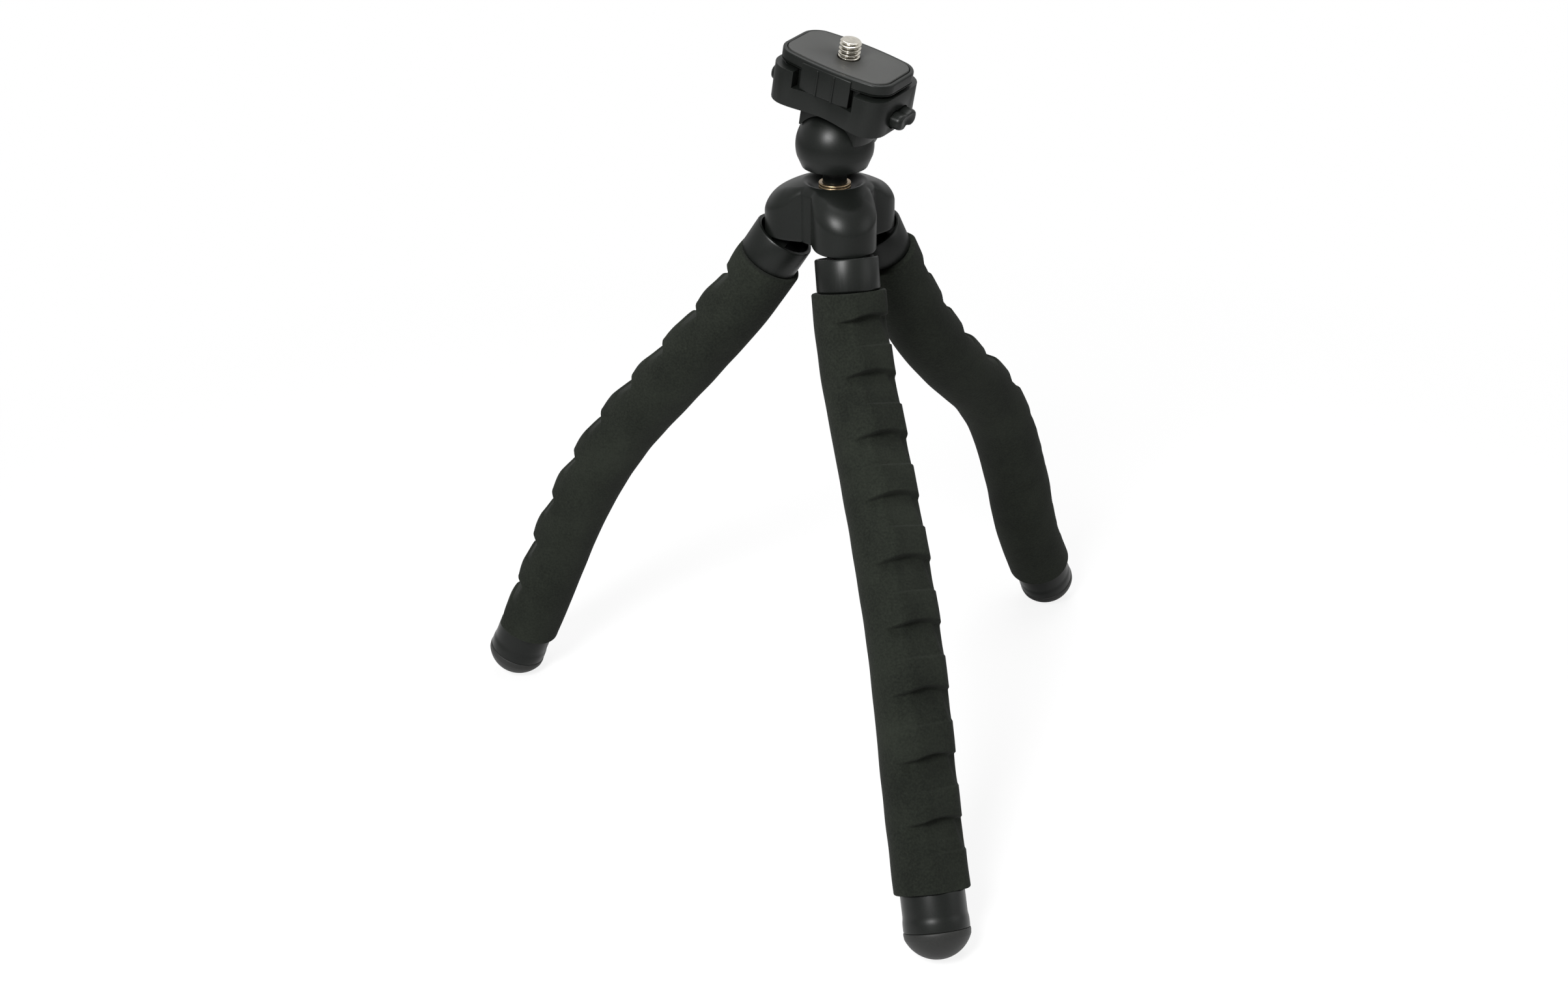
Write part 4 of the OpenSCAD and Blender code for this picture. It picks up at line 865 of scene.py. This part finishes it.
# %% The shared grain group
def grain_group():
    """A node group: Object coordinates in, a varied colour, a roughness and a height out."""
    g = bpy.data.node_groups.new("fine grain", "ShaderNodeTree")
    inputs = (
        ("Dark", "Color", (0.02, 0.02, 0.02, 1)),
        ("Light", "Color", (0.04, 0.04, 0.04, 1)),
        ("Grain size", "Float", 2500.0),
        ("Blotch size", "Float", 60.0),
        ("Roughness low", "Float", 0.4),
        ("Roughness high", "Float", 0.5),
    )
    for name, kind, value in inputs:
        socket = g.interface.new_socket(name, in_out="INPUT", socket_type=f"NodeSocket{kind}")
        socket.default_value = value
    for name, kind in (("Color", "Color"), ("Roughness", "Float"), ("Height", "Float")):
        g.interface.new_socket(name, in_out="OUTPUT", socket_type=f"NodeSocket{kind}")
    n, l = g.nodes, g.links
    into, out = n.new("NodeGroupInput"), n.new("NodeGroupOutput")
    place = n.new("ShaderNodeTexCoord")
    fine, slow = n.new("ShaderNodeTexNoise"), n.new("ShaderNodeTexNoise")
    fine.inputs["Detail"].default_value = 3
    slow.inputs["Detail"].default_value = 4
    l.new(into.outputs["Grain size"], fine.inputs["Scale"])
    l.new(into.outputs["Blotch size"], slow.inputs["Scale"])
    for t in (fine, slow):
        l.new(place.outputs["Object"], t.inputs["Vector"])
    both = n.new("ShaderNodeMath")
    both.operation = "MULTIPLY_ADD"
    l.new(fine.outputs["Fac"], both.inputs[0])
    both.inputs[1].default_value = 0.5
    half = n.new("ShaderNodeMath")
    half.operation = "MULTIPLY"
    l.new(slow.outputs["Fac"], half.inputs[0])
    half.inputs[1].default_value = 0.5
    l.new(half.outputs[0], both.inputs[2])
    spread = n.new("ShaderNodeMapRange")
    spread.inputs["From Min"].default_value = 0.35
    spread.inputs["From Max"].default_value = 0.65
    l.new(both.outputs[0], spread.inputs["Value"])
    mix = n.new("ShaderNodeMix")
    mix.data_type = "RGBA"
    l.new(spread.outputs["Result"], mix.inputs["Factor"])
    # Inputs 6 and 7 and output 2 are the Mix node's colour sockets A, B and Result.
    l.new(into.outputs["Dark"], mix.inputs[6])
    l.new(into.outputs["Light"], mix.inputs[7])
    l.new(mix.outputs[2], out.inputs["Color"])
    rough = n.new("ShaderNodeMapRange")
    l.new(spread.outputs["Result"], rough.inputs["Value"])
    l.new(into.outputs["Roughness low"], rough.inputs["To Min"])
    l.new(into.outputs["Roughness high"], rough.inputs["To Max"])
    l.new(rough.outputs["Result"], out.inputs["Roughness"])
    l.new(fine.outputs["Fac"], out.inputs["Height"])
    return g


GRAIN = grain_group()


def finish(name, dark, light, grain, rough, bump, distance, metallic=0.0, specular=0.5, sheen=0.0):
    """A Principled material with the grain group in its colour, roughness and bump."""
    m = bpy.data.materials.new(name)
    m.use_nodes = True
    n, l = m.node_tree.nodes, m.node_tree.links
    shader = n["Principled BSDF"]
    g = n.new("ShaderNodeGroup")
    g.node_tree = GRAIN
    g.inputs["Dark"].default_value = (*dark, 1)
    g.inputs["Light"].default_value = (*light, 1)
    g.inputs["Grain size"].default_value = grain
    g.inputs["Roughness low"].default_value, g.inputs["Roughness high"].default_value = rough
    b = n.new("ShaderNodeBump")
    b.inputs["Strength"].default_value = bump
    b.inputs["Distance"].default_value = distance * MM
    l.new(g.outputs["Color"], shader.inputs["Base Color"])
    l.new(g.outputs["Roughness"], shader.inputs["Roughness"])
    l.new(g.outputs["Height"], b.inputs["Height"])
    l.new(b.outputs["Normal"], shader.inputs["Normal"])
    shader.inputs["Metallic"].default_value = metallic
    shader.inputs["Specular IOR Level"].default_value = specular
    shader.inputs["Sheen Weight"].default_value = sheen
    return m


# %% Materials by slot
# Each finish: name, dark and light colour, grain size, roughness from and to, bump strength and bump height in mm.
FINISHES = {
    "shell": finish(
        "satin moulded plastic", (0.0026, 0.0031, 0.0027), (0.0046, 0.0054, 0.0047), 3000, (0.34, 0.4), 0.1, 0.04,
        specular=0.14,
    ),
    "foam": finish(
        "closed cell foam", (0.0054, 0.0063, 0.005), (0.0132, 0.0152, 0.0118), 1500, (0.8, 1.0), 0.8, 0.25,
        specular=0.04, sheen=0.015,
    ),
    "rubber": finish(
        "foot rubber", (0.006, 0.0063, 0.0058), (0.012, 0.0122, 0.0115), 2200, (0.5, 0.6), 0.25, 0.08,
        specular=0.2,
    ),
    "grip": finish(
        "grip pad rubber", (0.012, 0.0125, 0.0118), (0.022, 0.0225, 0.021), 2600, (0.5, 0.62), 0.3, 0.08,
        specular=0.25,
    ),
    "steel": finish(
        "bright nickel", (0.4, 0.38, 0.33), (0.55, 0.52, 0.46), 900, (0.14, 0.22), 0.05, 0.03, metallic=1.0
    ),
    "bronze": finish(
        "dull bronze", (0.2, 0.14, 0.08), (0.42, 0.32, 0.2), 900, (0.28, 0.42), 0.08, 0.03, metallic=1.0
    ),
}
SLOT_OF = {p["node"]: p["material_slot"] for p in frame["record"]["subparts"]}
for name, node in frame["nodes"].items():
    node.data.materials.clear()
    node.data.materials.append(FINISHES[SLOT_OF[name]])
for piece in bpy.data.objects:
    if piece.type == "MESH" and piece.get("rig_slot"):
        piece.data.materials.clear()
        piece.data.materials.append(FINISHES[piece["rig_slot"]])
print(len(FINISHES), "finishes")

# %% [markdown]
# ## The camera
# The camera was worked out from the photograph: its focal length, its height above the horizon and its turn
# about the stand. Its place follows from those angles and one distance, and its lens from the focal length in
# pixels over the picture's width.

# %% The camera
FOCAL_PX, FRAME_W = 3000.0, 2408.0
AIM, DISTANCE = np.array([0.0, 0.0, 90.2]), 630.0
ELEVATION, AZIMUTH, ROLL, SIDE_SHIFT = 27.8, -102.3, -0.67, -16.2
e, z, w = (math.radians(v) for v in (ELEVATION, AZIMUTH, ROLL))
right = np.array([-math.sin(z), math.cos(z), 0.0])
back = np.array([math.cos(e) * math.cos(z), math.cos(e) * math.sin(z), math.sin(e)])
up = np.cross(back, right)
cam_x = math.cos(w) * right + math.sin(w) * up
cam_y = -math.sin(w) * right + math.cos(w) * up
eye = AIM + STAND + SIDE_SHIFT * right + DISTANCE * back
camera = bpy.data.objects.new("camera", bpy.data.cameras.new("camera"))
bpy.context.collection.objects.link(camera)
turn = Matrix([[cam_x[i], cam_y[i], back[i]] for i in range(3)]).to_4x4()
camera.matrix_world = Matrix.Translation(Vector(eye * MM)) @ turn
camera.data.sensor_width = 36.0
camera.data.lens = 36.0 * FOCAL_PX / FRAME_W
camera.data.clip_start, camera.data.clip_end = 0.01, 20
bpy.context.scene.camera = camera
print("lens", round(camera.data.lens, 2))

# %% [markdown]
# ## Floor, backdrop and lamps
# In the photograph the ground is pure white, with only a faint shadow at the feet. So the camera sees the
# floor mostly as a glowing white, and a share of its lit surface shows near the stand, where the shadows are.
# The other rays meet a plain matt floor. The world is a dim even light, but white to the eye and in mirrors.
# Three soft lamps give the long soft highlights on the hub and the ball.

# %% The floor
FLOOR_HALF, FLOOR_DOWN = 3000, 0.05
corners = [(x * FLOOR_HALF, y * FLOOR_HALF, -FLOOR_DOWN) for x, y in ((-1, -1), (1, -1), (1, 1), (-1, 1))]
floor = new_piece("studio_floor", corners, [[0, 1, 2, 3]])
floor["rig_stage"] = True
white = bpy.data.materials.new("studio white")
white.use_nodes = True
n, l = white.node_tree.nodes, white.node_tree.links
shader = n["Principled BSDF"]
shader.inputs["Base Color"].default_value = (0.75, 0.75, 0.75, 1)
shader.inputs["Roughness"].default_value = 0.9
glow, mix, path = n.new("ShaderNodeEmission"), n.new("ShaderNodeMixShader"), n.new("ShaderNodeLightPath")
place, away, near, share = (n.new(f"ShaderNode{kind}") for kind in ("TexCoord", "VectorMath", "MapRange", "Math"))
away.operation, share.operation = "LENGTH", "MULTIPLY"
for key, value in (("From Min", 0.15), ("From Max", 0.5), ("To Min", 0.85), ("To Max", 1.0)):
    near.inputs[key].default_value = value
l.new(place.outputs["Object"], away.inputs[0])
l.new(away.outputs["Value"], near.inputs["Value"])
l.new(path.outputs["Is Camera Ray"], share.inputs[0])
l.new(near.outputs["Result"], share.inputs[1])
l.new(share.outputs[0], mix.inputs["Fac"])
l.new(shader.outputs[0], mix.inputs[1])
l.new(glow.outputs[0], mix.inputs[2])
l.new(mix.outputs[0], n["Material Output"].inputs["Surface"])
floor.data.materials.append(white)
print("floor ready")

# %% The world
world = bpy.data.worlds.new("studio")
bpy.context.scene.world = world
world.use_nodes = True
n, l = world.node_tree.nodes, world.node_tree.links
base = n["Background"]
base.inputs["Color"].default_value = (1, 1, 1, 1)
base.inputs["Strength"].default_value = 0.12
seen, mix, path = n.new("ShaderNodeBackground"), n.new("ShaderNodeMixShader"), n.new("ShaderNodeLightPath")
seen.inputs["Color"].default_value = (1, 1, 1, 1)
# Camera, glossy and transmission rays meet the white backdrop itself, so bright metal shows it too.
either, any_of = n.new("ShaderNodeMath"), n.new("ShaderNodeMath")
either.operation = any_of.operation = "MAXIMUM"
l.new(path.outputs["Is Glossy Ray"], either.inputs[0])
l.new(path.outputs["Is Transmission Ray"], either.inputs[1])
l.new(path.outputs["Is Camera Ray"], any_of.inputs[0])
l.new(either.outputs[0], any_of.inputs[1])
l.new(any_of.outputs[0], mix.inputs["Fac"])
l.new(base.outputs[0], mix.inputs[1])
l.new(seen.outputs[0], mix.inputs[2])
l.new(mix.outputs[0], n["World Output"].inputs["Surface"])
print("world ready")


# %% The lamps
def lamp(name, place, aim, size, power):
    """A square soft lamp at place, turned toward aim, both in millimetres from the foot of the hub's axis."""
    data = bpy.data.lights.new(name, "AREA")
    data.shape, data.size, data.energy = "SQUARE", size * MM, power
    o = bpy.data.objects.new(name, data)
    bpy.context.collection.objects.link(o)
    p, t = np.array(place, float) + STAND, np.array(aim, float) + STAND
    o.rotation_mode = "QUATERNION"
    o.location = Vector(p * MM)
    o.rotation_quaternion = Vector((t - p) * MM).to_track_quat("-Z", "Y")
    return o


lamp("key", (-380, -500, 640), (0, 0, 150), 250, 13)
lamp("fill", (620, -320, 380), (0, 0, 120), 420, 1.2)
lamp("top", (60, 120, 800), (0, 0, 120), 500, 5)
view = bpy.context.scene.view_settings
view.view_transform = "Standard"
print("three lamps, standard view")

# %% The size of the whole object
low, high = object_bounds()
print("visual box, mm:", [round(v / MM, 1) for v in (*low, *high)])
